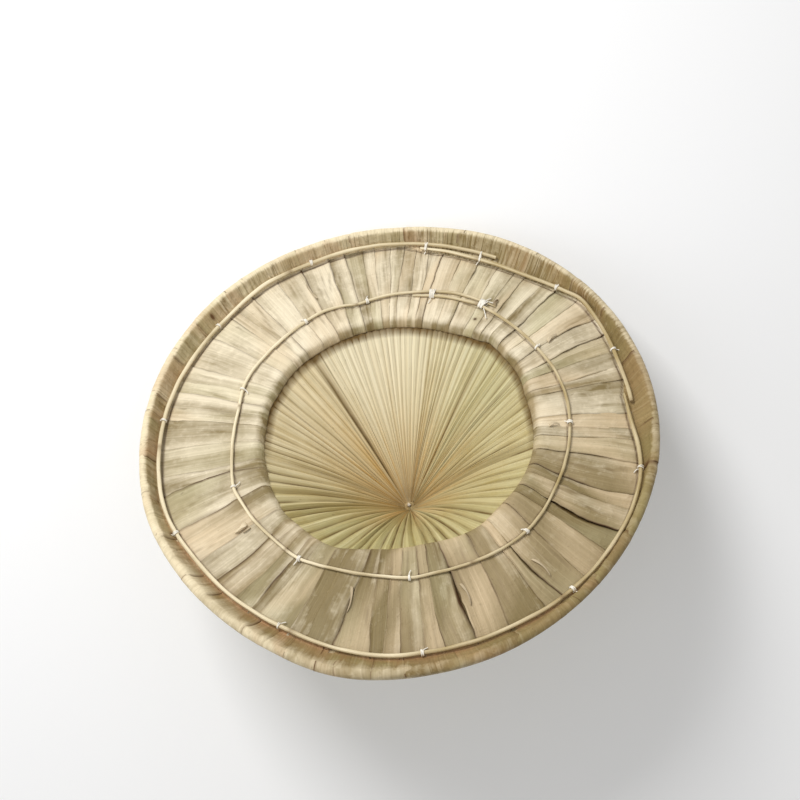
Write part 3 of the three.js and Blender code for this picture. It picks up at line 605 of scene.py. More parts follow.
def grown(name, tree, vertices, edges, attributes, inputs):
    """A piece that a tree grows on a few points and edges."""
    mesh = bpy.data.meshes.new(name + "_path")
    mesh.from_pydata(np.asarray(vertices).tolist(), edges, [])
    for key, value in attributes.items():
        value = np.asarray(value, np.float32)
        kind = "FLOAT_VECTOR" if value.ndim == 2 else "FLOAT"
        data = mesh.attributes.new(key, kind, "POINT").data
        data.foreach_set("vector" if value.ndim == 2 else "value", value.ravel())
    return evaluated(name, placed(name + "_path", mesh), tree, inputs)


# The brim's strips

HALF_DEGREES = np.arange(0, 360.5, 0.5)


def cane_band():
    """Inner and outer radius that the outer hoop's canes cover, every half degree, smoothed."""
    azimuth = HALF_DEGREES[:-1]
    low, high = np.full_like(azimuth, 2 * RIM), np.zeros_like(azimuth)
    for table in (OUTER_LONG, OUTER_SHORT):
        for turned in (azimuth, azimuth + 360):
            here = (turned >= table[0][0] - 1) & (turned <= table[-1][0] + 1)
            radius = RIM * along(table, turned)
            low = np.where(here, np.minimum(low, radius), low)
            high = np.where(here, np.maximum(high, radius), high)
    blur = lambda side: sum(np.roll(side, k) for k in range(-4, 5)) / 9
    return [np.append(side, side[0]) for side in (blur(low), blur(high))]


BAND = cane_band()


def hoop_band(azimuth):
    return tuple(np.interp(np.mod(azimuth, 360.0), HALF_DEGREES, side) for side in BAND)


def strip_rows():
    """The strips by named columns, each with its own edge, the next one's and how high that stands."""
    rows = [dict(zip(("rim", "middle", "opening", "lap", "tone", "brown"), row)) for row in STRIPS]
    for row, after in zip(rows, rows[1:] + rows[:1]):
        turn = 360 if after is rows[0] else 0
        row["own"] = [row[key] for key in ("opening", "middle", "rim")]
        row["next"] = [after[key] + turn for key in ("opening", "middle", "rim")]
        row["lap after"] = after["lap"]
    return rows


def creases(seed, u, s, span, count, size, width=0.9):
    """Long slanting creases pressed into a strip or a wrap, in millimetres, and where they show."""
    source = np.random.default_rng(seed)
    height, line = 0 * u * s, 0 * u * s
    for _ in range(count):
        first, length = source.uniform(-0.1, 0.8), source.uniform(0.12, 0.5)
        middle, slant = source.uniform(0.1, 0.9), source.uniform(-0.9, 0.9)
        off = (u - middle - slant * (s - first - length / 2)) * span
        window = np.clip(1 - ((s - first - length / 2) / (length / 2)) ** 2, 0, 1)
        mark = fade(off, width) * window
        sign = source.choice((-1.0, 1.0))
        height = height + size * source.uniform(0.4, 1.0) * (sign * mark + 0.6 * np.tanh(off / 1.5) * window)
        line = np.maximum(line, mark * source.uniform(0.3, 1.0))
    return height, line


def under_hoops(radius, azimuth):
    """1 where the outer hoop's shadow lies on the strips, and where the inner one's does."""
    once_round = [(place % 360, share) for place, share in INNER_CANE if 80 <= place < 412]
    outer, _ = hoop_band(azimuth)
    inner = RIM * around(once_round, azimuth)
    return fade(radius - outer + 1.9, 0.7), fade(radius - inner + 1.7, 0.6)


def pierced(radius, azimuth):
    """1 in the middle of a small pierced hole."""
    away = lambda place, reach: np.hypot(radius - reach, np.radians(azimuth - place) * reach)
    return sum(fade(away(place, reach), size) for place, reach, size in HOLES)


def strip_sides(row, seed, flat):
    """Azimuths of a strip's own edge, and of its other edge under the next strip, along its flat part."""
    middle = 0.5 * (row["own"][1] + row["next"][1])
    edge, end = opening_edge(middle), slot_edge(middle) - STRIP_GAP
    radius = end + (edge + ROLL - end) * flat
    share = (radius - edge) / (end - edge)
    sides = []
    for key, jag_seed, lap in (("own", seed + 1, row["lap"]), ("next", seed + 8, 0.6)):
        inner, mid, outer = row[key]
        bend = inner + (outer - inner) * share + (mid - (inner + outer) / 2) * 4 * share * (1 - share)
        jag = wander(jag_seed, radius, 0.26, 18.0) + wander(jag_seed + 1, radius, 0.07 * lap, 3.0)
        sides.append(bend + jag)
    gape = max(row["lap after"] - 1.1, 0) * 2.6
    parted = (STRIP_UNDERLAP + gape) * fade(share - 0.55, 0.28) * (gape > 0)
    return sides[0], sides[1] + STRIP_UNDERLAP - parted


def strip_lift(row, seed, s, u, radius, span):
    """How far a strip stands off the brim's level: raised at its own edge, and tucked under at the other.

    The second value is where its creases show.
    """
    folds, lines = creases(seed + 20, u, s, span, 5, 0.34)
    rise = row["lap"] * (0.8 * (1 - u) ** 2.2 + 0.1)
    swell = 0.5 * np.sin(math.pi * u) * wander(seed + 2, s, 0.8, 0.3)
    curl = 0.9 * row["lap"] * fade(u, 0.09) * (0.6 + wander(seed + 3, radius, 0.6, 9.0))
    ribs = 0.03 * np.sin(2 * math.pi * u * max(round(float(span.mean()) / 2.6), 2))
    crumple = wander(seed + 6, radius + 9 * u, 0.16, 4.5)
    under = 0.8 * smoothstep(0.86, 1.0, u)
    return np.clip(rise + swell + folds + np.maximum(curl, 0) + ribs + crumple - under, -0.7, 2.6), lines


def strip_sheet(row, seed, s, u):
    """A strip's place: along it from the rim's fold to the roll, and over the roll to the crown's leaf."""
    flat = np.clip(s / FLAT_SHARE, 0, 1)
    turn = np.clip((s - FLAT_SHARE) / (1 - FLAT_SHARE), 0, 1)
    low, high = strip_sides(row, seed, flat)
    azimuth = low + (high - low) * u
    edge, end = opening_edge(azimuth), slot_edge(azimuth) - STRIP_GAP
    radius = end + (edge + ROLL - end) * flat
    span = np.radians(high - low) * radius
    lift, lines = strip_lift(row, seed, s, u, radius, span)
    level = brim_level(radius, azimuth)
    join = smoothstep(0.86, 1.0, flat)
    rolled = turn > 0
    angle = math.pi / 2 + turn * ROLL_TURN
    outwards, upwards = np.cos(angle) * rolled, np.where(rolled, np.sin(angle), 1)
    under = ROLL - STRIP_WALL
    pinch = 0.25 * np.abs(2 * u - 1) ** 8 * smoothstep(0, 0.4, turn)
    reach = under + lift * (1 - 0.75 * smoothstep(0, 0.75, turn)) - pinch
    radial = radius + reach * outwards
    height = np.where(
        rolled, -OPENING_DROP + reach * upwards, level + (under - OPENING_DROP - level) * join + lift
    )
    upper = polar(radial, azimuth, height)
    lower = polar(radial - outwards * STRIP_WALL, azimuth, height - upwards * STRIP_WALL)
    walked = np.linalg.norm(np.diff(upper[:, u.shape[1] // 2], axis=0), axis=1)
    length = np.cumsum(np.concatenate([[0], walked]))[:, None]
    return SimpleNamespace(
        upper=upper, lower=lower, length=length, azimuth=azimuth, radius=radius, span=span, flat=flat,
        turn=turn, lines=lines,
    )


def strip_tints(row, seed, s, u, sheet):
    """A strip's tone and tints: by chance, by its side with painted light and shade, browner at its edges."""
    source = np.random.default_rng(seed)
    slant, half, step = source.uniform(-0.14, 0.3), source.uniform(0.3, 0.7), source.choice((-1, 0, 1))
    green, warm = source.uniform(-0.4, 0.25), source.uniform(-0.3, 0.35)
    azimuth, radius, turn, lines = sheet.azimuth, sheet.radius, sheet.turn, sheet.lines
    # On the far side the roll gets painted shade on its face and a painted highlight on its crest
    far = smoothstep(-0.25, 0.1, facing(azimuth, 84))
    # Painted shade: the near side is made greener and warmer
    dim = 0.5 - 0.5 * facing(azimuth, 98)
    roll_shade = smoothstep(0.2, 0.52, turn) * (0.1 + 0.9 * far)
    roll_highlight = 0.25 * far * fade(turn, 0.14) * smoothstep(0.88, 1.0, sheet.flat)
    tone = (
        around(BRIM_TONES, azimuth) + 0.5 * (row["tone"] - 0.7) + wander(seed + 5, s + 0.2 * u, 0.18, 0.3)
        + slant * (u - 0.5) + 0.22 * np.tanh((u - half) * 9) * step - 0.4 * lines - 0.52 * roll_shade + roll_highlight
    )
    worn = 0.65 + wander(seed + 4, radius, 0.5, 16.0)
    own_edge = row["brown"] * fade(u * sheet.span, 0.9) * worn * (1 - 0.5 * smoothstep(0.1, 0.4, turn))
    patchy = 0.75 + wander(seed + 12, radius, 0.4, 14.0)
    # Painted shadow on the side that lies under the next strip's raised edge, deeper where that edge stands
    # higher
    lap_shadow = (0.3 + 0.5 * min(row["lap after"], 1.0)) * smoothstep(0.86, 0.97, u)
    lap_shadow = lap_shadow * patchy * (1 - 0.6 * smoothstep(0.1, 0.5, turn))
    # Painted shadow where the roll meets the fan leaf on the far side, and a little over the roll's shaded face
    shaded_seam = 0.04 * roll_shade + 0.8 * smoothstep(0.84, 0.97, turn) * far
    outer_shadow, inner_shadow = under_hoops(radius, azimuth)
    shade = 0.85 * outer_shadow + 0.7 * inner_shadow * (turn == 0)
    marks = 0.35 * lines * row["brown"] + 1.3 * pierced(radius, azimuth)
    greener = 0.1 * dim + 0.12 * roll_shade + wander(seed + 9, s + 0.3 * u, 0.25, 0.3)
    warmer = 0.15 * dim + wander(seed + 10, s - 0.3 * u, 0.3, 0.25)
    return {
        "Tone": tone, "Brown": np.clip(own_edge + lap_shadow + shaded_seam + shade + marks, 0, 1.4),
        "Green": np.clip(green + greener, 0, 1), "Warm": np.clip(warm + warmer, 0, 1),
    }


def brim_strips(piece_name, first, last):
    """The strips whose middle lies between two azimuths, and the torn slivers there."""
    pile = Pile()
    s = np.linspace(0, 1, STRIP_POINTS[0])[:, None]
    u = np.linspace(0, 1, STRIP_POINTS[1])[None, :]
    for i, row in enumerate(strip_rows()):
        if first <= row["middle"] < last:
            seed = 1000 + 7 * i
            sheet = strip_sheet(row, seed, s, u)
            across = (u - 0.5) * sheet.span / 1000 + i * STRIP_SHIFT
            tints = strip_tints(row, seed, s, u, sheet)
            pile.grid(sheet.upper, sheet.lower, across, sheet.length / 1000, **tints)
    for azimuth, *sizes in SLIVERS:
        if first <= azimuth < last:
            sliver(pile, azimuth, *sizes)
    return pile.made(piece_name, strip_finish)


def sliver(pile, azimuth, start, reach, width, arch, tone, brown):
    """A torn sliver that has lifted off a strip, from its root at a radius outwards, in millimetres."""
    t = np.linspace(0, 1, SLIVER_POINTS[0])[:, None]
    u = np.linspace(-0.5, 0.5, SLIVER_POINTS[1])[None, :]
    radius = start + reach * t
    wide = width * (1 - 0.75 * t ** 2) * (1 + 0.2 * np.sin(9 * t))
    turned = azimuth + np.degrees((u * wide + 0.12 * reach * np.sin(2.5 * t)) / radius)
    lifted = arch * np.sin(math.pi * t ** 0.8) + 0.7 * t + 0.5 * u * wide * t
    upper = polar(radius, turned, brim_level(radius, turned) + 1.5 + lifted)
    browned = np.clip(brown * (0.4 + 0.8 * t), 0, 1)
    pile.grid(
        upper, upper - np.array([0, 0, SLIVER_WALL]), u * wide / 1000, t * reach / 1000,
        Tone=tone, Brown=browned, Green=0.1, Warm=0.5,
    )


# The rim's wraps

def fold_outline(azimuth):
    """Radii and heights round the folded leaf: its flap under the canes, the rim's roll and the back."""
    low, high = hoop_band(azimuth)
    edge, slot = rim_edge(azimuth), slot_edge(azimuth)
    top = lambda radius: brim_level(radius, azimuth) + 1.0
    back = lambda radius: brim_level(radius, azimuth) - 4.4
    flap, foot = low - 0.2, np.minimum(high + 2.6, slot - 0.4)
    half_way = 0.5 * (flap + foot)

    def roll(degrees):
        angle = math.radians(degrees)
        return edge - RIM_ROLL + RIM_ROLL * math.cos(angle), RIM_ROLL * math.sin(angle)

    pressed = [
        (slot + RIM_ROLL / 2 + side * math.cos(LEAN), REST_LEVEL + side * math.sin(LEAN))
        for side in (REST_HALF_WIDTH, -REST_HALF_WIDTH)
    ]
    outline = [
        (flap, top(flap)), (half_way, top(half_way)), (foot, top(foot) + 0.2),
        (0.45 * foot + 0.55 * roll(150)[0], 0.5 * (top(foot) + roll(150)[1]) - 0.3),
        *[roll(degrees) for degrees in range(150, -31, -30)],
        *pressed, (slot - 7, back(slot - 7) - 0.6), (slot - 12, back(slot - 12) - 0.8),
    ]
    return [np.stack([place[k] + 0 * azimuth for place in outline]) for k in (0, 1)]


def spline(levels, at):
    """Smooth values through levels that are evenly spaced on the way from 0 to 1, one row for each place."""
    knots = np.linspace(0, 1, len(levels))
    k = np.clip(np.searchsorted(knots, at, side="right") - 1, 0, len(knots) - 2)
    t = ((at - knots[k]) / (knots[1] - knots[0]))[:, None]
    take = lambda step: levels[np.clip(k + step, 0, len(knots) - 1), np.arange(len(at))]
    a, b, c, d = (take(step) for step in (-1, 0, 1, 2))
    square, cube = 2 * a - 5 * b + 4 * c - d, 3 * b - a - 3 * c + d
    return 0.5 * (2 * b + (c - a) * t + square * t * t + cube * t ** 3)


def wrap_sheet(start, end, lap, seed, s, u):
    """A wrap's place: s runs from its flap over the rim to its back, and u from its raised edge on."""
    azimuth = start + (end - start) * u + wander(seed, s, 0.8, 0.6) * (1 - 0.2 * u)
    radius, height = (spline(levels, s[:, 0]) for levels in fold_outline(azimuth))
    dr, dz = np.gradient(radius, axis=0), np.gradient(height, axis=0)
    size = np.hypot(dr, dz) + 1e-9
    span = np.radians(end - start) * RIM
    folds, lines = creases(seed + 30, u, s, span, 5 + round(span / 2.6), 0.2, 0.5)
    crinkle = wander(seed + 2, 26 * s + 0.35 * u * span, 0.1, 2.2)
    crinkle = crinkle + wander(seed + 3, u * span + 9 * s, 0.14, 2.0)
    rise = lap * (0.35 * (1 - u) ** 2 + 0.1) + 0.4 * np.sin(math.pi * u) * wander(seed + 1, s, 0.3, 0.4)
    rise = rise - 0.7 * smoothstep(0.9, 1.0, u)
    rise = rise + (folds + crinkle * smoothstep(0.05, 0.2, s)) * (1 - 0.6 * smoothstep(0.36, 0.46, s))
    rise = np.clip(rise * (1 - 0.85 * smoothstep(0.62, 0.7, s)), -0.8, 1.1)
    place = lambda off: polar(radius - dz / size * off, azimuth, height + dr / size * off)
    middle = u.shape[1] // 2
    walked = np.hypot(np.diff(radius[:, middle]), np.diff(height[:, middle]))
    length = np.cumsum(np.concatenate([[0], walked]))[:, None]
    return SimpleNamespace(
        upper=place(rise), lower=place(rise - WRAP_WALL), length=length, azimuth=azimuth, radius=radius,
        span=span, lines=lines, crinkle=crinkle,
    )


def wrap_tints(tone, brown, seed, s, u, sheet):
    """A wrap's tone and tints: painted highlight on the roll's crest, deeper inside it, reddish by the canes.
    """
    azimuth, lines = sheet.azimuth, sheet.lines
    near = smoothstep(0.0, 0.6, facing(azimuth, 270))
    # Painted shade: browner towards the near right, and at the lower right a duller crest and greener leaf
    dim = 0.5 + 0.5 * facing(azimuth, -45)
    shaded = fade(azimuth - 305, 38)
    inward = s + 0.12 * near
    slope = smoothstep(0.05, 0.16, s) * (1 - smoothstep(0.28, 0.38, inward))
    # The crest is paler as a painted highlight along the top of the roll
    crest = smoothstep(0.33, 0.43, inward) * (1 - smoothstep(0.74, 0.86, s)) * (1 - 0.8 * shaded)
    lined = lines * (1 - 0.6 * crest)
    reddish = fade(s - 0.1, 0.06) * (0.5 + 0.5 * facing(azimuth, 215))
    # The wrap's own brown edge, and painted shadow on the side that lies under the next wrap
    edges = 1.3 * brown * fade(u * sheet.span, 0.8) + 0.6 * smoothstep(0.93, 1, u)
    holes = 1.3 * pierced(sheet.radius, azimuth) * (s < 0.4)
    green = 0.25 * slope + 0.3 * shaded + wander(seed + 6, s + u, 0.25, 0.3) - 0.15 * crest
    warm = 0.3 * reddish + 0.55 * reddish * near + 0.12 * slope + wander(seed + 7, s - u, 0.22, 0.3)
    creased = 0.75 - 0.5 * near - 0.4 * crest + 0.6 * fade(azimuth - 70, 35)
    tone = tone - 0.3 * slope + 0.35 * crest + 0.6 * sheet.crinkle - 0.35 * lined
    return {
        "Tone": tone + around(RIM_TONES, azimuth),
        "Brown": np.clip(edges + 0.05 * slope + 0.25 * lined + 0.12 * dim + holes, 0, 1.4),
        "Green": np.clip(green, 0, 1), "Warm": np.clip(warm, 0, 1),
        "Creased": np.clip(creased + wander(seed + 8, s + 2 * u, 0.35, 0.4), 0.05, 1.5),
    }


def rim_wraps(piece_name, first, last):
    """The wraps that start between two azimuths. Each one goes a little way under the next."""
    pile = Pile()
    s = np.linspace(0, 1, WRAP_POINTS)[:, None]
    starts = [row[0] for row in WRAPS]
    ends = [start + WRAP_UNDERLAP for start in (*starts[1:], starts[0] + 360)]
    for i, ((start, lap, tone, brown), end) in enumerate(zip(WRAPS, ends)):
        if first <= start < last:
            seed = 3000 + 11 * i
            points = max(8, round((end - start) * WRAP_POINTS_PER_DEGREE))
            u = np.linspace(0, 1, points)[None, :]
            sheet = wrap_sheet(start, end, lap, seed, s, u)
            across = sheet.span * u / 1000 + i * WRAP_SHIFT[0]
            length = sheet.length / 1000 + i * WRAP_SHIFT[1]
            tints = wrap_tints(tone, brown, seed, s, u, sheet)
            pile.grid(sheet.upper, sheet.lower, across, length, **tints)
    return pile.made(piece_name, rim_finish)


# The fan leaf

# The pleats: run along the leaf from its tip, and their depth in millimetres
PLEAT_DEPTHS = (
    (0, 0.1), (0.04, 0.3), (0.1, 0.7), (0.35, 1.8), (0.9, 2.3), (1.0, 1.9), (1.3, 0.9), (2.0, 0.6),
)


def fan_ridges():
    """Azimuths of the ridges between the fan's pleats, unevenly apart, and closest on the far side."""
    widths = random.uniform(0.72, 1.3, PLEATS)
    widths *= 1.08 - 0.3 * np.sin(2 * math.pi * (np.arange(PLEATS) + 0.5) / PLEATS)
    return np.concatenate([[0], np.cumsum(widths)]) * 360 / widths.sum()


def fan_place(run, columns, which):
    """Where the leaf lies unpleated. run is 0 at the tip, 1 at the opening and 2 in the rim's fold."""
    inside, in_crown = np.clip(run, 0, 1), run <= 1
    azimuth = columns + wander(77, run * 3 + which * 0.7, 1.1, 1.0) * (1 - inside) ** 0.5 * (inside < 1)
    edge, slot = opening_edge(azimuth), slot_edge(azimuth)
    radius = np.where(in_crown, edge * inside, edge + (slot - FAN_GAP - edge) * (run - 1))
    rise = CROWN_DEPTH - OPENING_DROP - 0.3
    cone = -CROWN_DEPTH + rise * inside + CROWN_HOLLOWING * np.sin(math.pi * inside)
    under_roll, under_strips = -OPENING_DROP - FAN_UNDER_ROLL, INNER_LEVEL - FAN_UNDER_STRIPS
    shoulder = under_roll + (under_strips - under_roll) * np.clip((radius - edge) / (INNER_HOOP - edge), 0, 1)
    t = np.clip((radius - INNER_HOOP) / (OUTER_HOOP - INNER_HOOP), 0, 1)
    lift = RIM_LIFT * np.maximum(radius - OUTER_HOOP, 0) / (slot - OUTER_HOOP)
    brim = np.where(radius < INNER_HOOP, shoulder, under_strips + (OUTER_LEVEL - INNER_LEVEL) * t + lift)
    slope = rise / edge + CROWN_HOLLOWING * math.pi / edge * np.cos(math.pi * inside)
    height = np.where(in_crown, np.maximum(cone, FAN_TIP_LEVEL), brim)
    return {"Azimuth": azimuth, "Radius": radius, "Height": height, "Slope": np.where(in_crown, slope, 0.25)}


def fan_pleats(run, azimuth, fold, which):
    """How deep the leaf is pleated, its folds in painted shade, its tone and tints, the inner side's brown
    first.
    """
    inside, in_crown = np.clip(run, 0, 1), run <= 1
    by_pleat = lambda seed, low, high: np.random.default_rng(seed).uniform(low, high, PLEATS)[which]
    light, leafy, ochre, pressed = (around(FAN_TONES, azimuth, column) for column in (1, 2, 3, 4))
    profile = np.interp(run, *zip(*PLEAT_DEPTHS))
    apart = lambda place: (azimuth - place + 180) % 360 - 180
    # The deep folds are pressed deeper, and painted with shade and the leaf's brown along them
    shaded_seam = sum(strength * fade(apart(place), 0.4 + 1.5 * strength) for place, strength in DEEP_FOLDS)
    shaded_seam = shaded_seam * smoothstep(0.05, 0.25, inside) * (1 - 0.5 * smoothstep(0.6, 1.0, inside)) * in_crown
    sharp = 10 - 5 * np.clip(pressed, 0, 1.2)
    valley = fold ** sharp * (0.65 + 0.35 * wander(5, run * 9 + which * 1.7, 1.0, 1.0))
    heart = 0.16 * fade(inside, 0.1) + 0.06 * fade(inside, 0.3)
    glow = fade(inside, 0.42) * (0.55 + 0.45 * wander(15, which * 2.3, 1.0, 1.0)) * in_crown
    # Painted shadow under the opening's roll on the far side
    tucked = 0.95 * smoothstep(0.945, 0.995, inside) * smoothstep(-0.3, 0.15, facing(azimuth, 82))
    # Painted shade in the pleats' valleys, deeper where they are pressed deeper
    folds = 0.85 * pressed * by_pleat(12, 0.45, 1.2) * np.clip(valley, 0, 1)
    # Painted paler towards each pleat's ridges, as a painted highlight
    tone = light + by_pleat(9, -0.16, 0.16) + 0.18 * (1 - fold) + 0.4 * fade(inside, 0.35) * in_crown
    # Under the strips, where it shows only through gaps, the leaf is painted dark all over as painted shade
    brown = np.where(in_crown, np.clip(heart + folds + 0.8 * shaded_seam + tucked, 0, 1), 0.9)
    outer_brown = np.clip(0.25 * fold ** 4 + 0.2 * heart, 0, 1)
    depth = profile * by_pleat(8, 0.7, 1.25) * np.where(in_crown, pressed, 1)
    green, warm = leafy * (1 - 0.7 * glow), np.clip(ochre + 0.9 * glow, 0, 1)
    return {
        "Depth": depth, "Seam": shaded_seam, "Tone": tone, "Brown": (brown, outer_brown), "Green": green,
        "Warm": warm,
    }


def pleat_tree():
    """Sets each point of the double sheet where the pleats' rule puts it, and lays the sheet at rest."""
    board, take = open_tree("pleated_leaf", (
        ("Sheet", "Geometry", None), ("Pleat Depth", "Float", 1.0), ("Sharpness", "Float", 1.15),
        ("Seam Depth", "Float", 0.9), ("Wall", "Float", FAN_WALL), ("Lean", "Float", 0.0),
        ("Finish", "Material", None),
    ))
    number = lambda key: attribute(board, key)
    push = number("Fold") ** take("Sharpness") * number("Depth") * take("Pleat Depth")
    push = (push + number("Seam") * take("Seam Depth")).maths("MINIMUM", DEEPEST_PLEAT)
    push = push + number("Side") * take("Wall")
    slope = number("Slope")
    size = (slope * slope + 1.0).maths("SQRT")
    radius = number("Radius") + push * slope / size
    height = number("Height") - push / size
    turn = number("Azimuth") * (math.pi / 180)
    place = board.vector(radius * turn.maths("COSINE"), radius * turn.maths("SINE"), height)
    pleated = board.add("SetPosition", {}, {"Geometry": take("Sheet"), "Position": place})
    laid = board.add("Transform", {}, {
        "Geometry": pleated, "Translation": tuple(REST.to_translation()), "Scale": (0.001, 0.001, 0.001),
        "Rotation": board.vector(take("Lean"), 0.0),
    })
    return close_tree(board, laid, take("Finish"))


def pleated_fan():
    """The fan leaf: a double sheet of points, closed round the hat, that the tree pleats and lays at rest."""
    ridges = fan_ridges()
    share = np.arange(PLEAT_POINTS) / PLEAT_POINTS
    columns = (ridges[:-1, None] + np.diff(ridges)[:, None] * share).ravel()
    fold = np.tile(1 - np.abs(2 * share - 1), PLEATS)
    which = np.repeat(np.arange(PLEATS), PLEAT_POINTS)
    crown_run, brim_run = np.linspace(FAN_START, 1, CROWN_POINTS), np.linspace(1, 2, BRIM_POINTS)[1:]
    run = np.concatenate([crown_run, brim_run])[:, None]
    values = fan_place(run, columns, which)
    azimuth = values["Azimuth"]
    values.update(Fold=fold, **fan_pleats(run, azimuth, fold, which))

    def closed(value):
        if isinstance(value, tuple):
            return tuple(closed(side) for side in value)
        value = np.broadcast_to(value, azimuth.shape)
        return np.concatenate([value, value[:, :1]], 1)[::-1]

    values = {key: closed(value) for key, value in values.items()}
    sheet = polar(values["Radius"], values["Azimuth"], values["Height"])
    across = np.linspace(0, 0.65, sheet.shape[1])
    pile = Pile()
    pile.grid(sheet, sheet, across, values["Radius"] / 1000, Side=(0.0, 1.0), **values)
    source = pile.made("fan_leaf_sheet", fan_finish, at_rest=False)
    return evaluated(
        "fan_leaf_pleats", source, pleat_tree(),
        {"Pleat Depth": 1.0, "Sharpness": 1.15, "Seam Depth": 0.9, "Wall": FAN_WALL, "Lean": -LEAN,
         "Finish": fan_finish},
        smooth=False,
    )


# The hoops' canes

# rise: how high the canes' middles stand over the brim's level, in millimetres
# width, thickness, held: the cane's, and what a turn of thread goes round, in metres
# light: the canes' tone, its swing round the hat and its brightest azimuth, as painted light and shade
# turn_radius, doubled: where a tie's turns are spaced, and how many more of them hold two canes
# stitch_level, stitch_half: where a stitch lies outside, from the brim's level, and half its length (degrees)
OUTER = SimpleNamespace(
    canes=(OUTER_LONG, OUTER_SHORT), ties=OUTER_TIES, rise=4.8, width=0.0031, thickness=0.0028, held=0.0034,
    light=(0.62, 0.36, 172), turn_radius=184, doubled=0, stitch_level=-5.9, stitch_half=1.1,
)
INNER = SimpleNamespace(
    canes=(INNER_CANE,), ties=INNER_TIES, rise=2.4, width=0.0024, thickness=0.0023, held=0.0030,
    light=(0.64, 0.35, 165), turn_radius=130, doubled=4, stitch_level=-3.7, stitch_half=1.65,
)
CANE_SIDES = 12

# Degrees of a cane over which its ends taper, and degrees from one of its knots to the next
TAPER = 8
KNOT_SPACING = 63


def cane_tree():
    """A cane or thread swept along a path, with an oval section that swells and tapers."""
    board, take = open_tree("split_cane", (
        ("Path", "Geometry", None), ("Width", "Float", OUTER.width), ("Thickness", "Float", OUTER.thickness),
        ("Sides", "Int", CANE_SIDES), ("Finish", "Material", None),
    ))
    line = board.add("MeshToCurve", {}, {"Mesh": take("Path")})
    line = stored(board, line, "Along", board.add("SplineParameter", out="Length"))
    ring = board.add("CurvePrimitiveCircle", {"mode": "RADIUS"}, {"Resolution": take("Sides"), "Radius": 1.0})
    oval = board.vector(take("Width") * 0.5, take("Thickness") * 0.5, 1.0)
    profile = board.add("Transform", {}, {"Geometry": ring, "Scale": oval})
    profile = stored(board, profile, "Around", board.add("SplineParameter", out="Factor"))
    swept = board.add("CurveToMesh", {}, {
        "Curve": line, "Profile Curve": profile, "Scale": attribute(board, "Swell"), "Fill Caps": True,
    })
    run = board.vector(attribute(board, "Around") * 0.01, attribute(board, "Along"))
    return close_tree(board, stored(board, swept, "Run", run, "FLOAT2", "CORNER"), take("Finish"))


CANE_TREE = cane_tree()


def linked(start, count):
    """Edges that join points in a row."""
    return [(i, i + 1) for i in range(start, start + count - 1)]


def cane(name, table, hoop, seed, ends):
    """One cane of a hoop along its table of places. Its two ends narrow to shares of its width."""
    first, last = table[0][0], table[-1][0]
    azimuth = np.arange(first, last, 1.0)
    radius = RIM * along(table, azimuth) + wander(seed, azimuth, 0.18, 3.0)
    height = brim_level(radius, azimuth) + hoop.rise + wander(seed + 1, azimuth, 0.12, 4.0)
    swell = 1 + wander(seed + 2, azimuth, 0.07, 3.0)
    swell *= np.interp(azimuth, [first, first + TAPER, last - TAPER, last], [ends[0], 1, 1, ends[1]])
    level, swing, brightest = hoop.light
    # Painted light and shade: lighter towards the brightest azimuth and darker opposite
    tone = level + swing * facing(azimuth, brightest) + wander(seed + 3, azimuth, 0.2, 6.0)
    knots = np.mod(azimuth + seed * 7, KNOT_SPACING)
    return grown(
        name, CANE_TREE, rested(polar(radius, azimuth, height)), linked(0, len(azimuth)),
        {"Swell": swell, "Tone": tone, "Brown": 0.55 * fade(knots, 1.1) + 0.06},
        {"Width": hoop.width, "Thickness": hoop.thickness, "Sides": CANE_SIDES, "Finish": cane_finish},
    )


# Thread

# The ties' thread in metres, how many turns they have in order, and how far apart these are in millimetres
TIE_THREAD = 0.00085
TIE_TURNS = (2, 3, 2, 3, 3, 2)
TURN_PITCH = 0.75
THREAD_SIDES = 7


def loop_tree():
    """Turns of thread, one on each point, and turned to lie across their cane."""
    board, take = open_tree("thread_turns", (
        ("Turns", "Geometry", None), ("Thread", "Float", TIE_THREAD), ("Cane", "Float", OUTER.held),
        ("Seed", "Int", 5), ("Finish", "Material", None),
    ))
    circle = lambda sides, radius: board.add(
        "CurvePrimitiveCircle", {"mode": "RADIUS"}, {"Resolution": sides, "Radius": radius}
    )
    align = lambda settings, values: board.add("FunctionNodeAlignRotationToVector", settings, values)
    lies, across = (attribute(board, key, "FLOAT_VECTOR") for key in ("Lies", "Across"))
    turned = align({"axis": "Z"}, {"Vector": lies})
    turned = align({"axis": "X", "pivot_axis": "Z"}, {"Rotation": turned, "Vector": across})
    limits = {2: 0.94, 3: 1.06, "Seed": take("Seed")}
    wobble = board.add("FunctionNodeRandomValue", {"data_type": "FLOAT"}, limits, out=1)
    long_way = attribute(board, "Reach") + take("Cane") + take("Thread")
    size = board.vector(long_way * wobble, (take("Cane") + take("Thread")) * wobble, 1.0)
    loops = board.add("InstanceOnPoints", {}, {
        "Points": take("Turns"), "Instance": circle(18, 0.5), "Rotation": turned, "Scale": size,
    })
    real = board.add("RealizeInstances", {}, {"Geometry": loops})
    line = stored(board, real, "Along", board.add("SplineParameter", out="Length"))
    thread = circle(THREAD_SIDES, 1.0)
    swept = board.add("CurveToMesh", {}, {
        "Curve": line, "Profile Curve": thread, "Scale": take("Thread") * 0.5, "Fill Caps": True,
    })
    run = board.vector(attribute(board, "Along") * 0.2, attribute(board, "Along"))
    return close_tree(board, stored(board, swept, "Run", run, "FLOAT2", "CORNER"), take("Finish"))


LOOP_TREE = loop_tree()


def canes_at(canes, azimuth):
    """Radii of the canes at an azimuth, inner one first."""
    return sorted(
        RIM * float(along(table, a)) for table in canes for a in (azimuth, azimuth + 360)
        if table[0][0] <= a <= table[-1][0]
    )


def on_brim(radius, azimuth, up):
    """Points some way over the brim's level."""
    return polar(radius, azimuth, brim_level(radius, azimuth) + up)


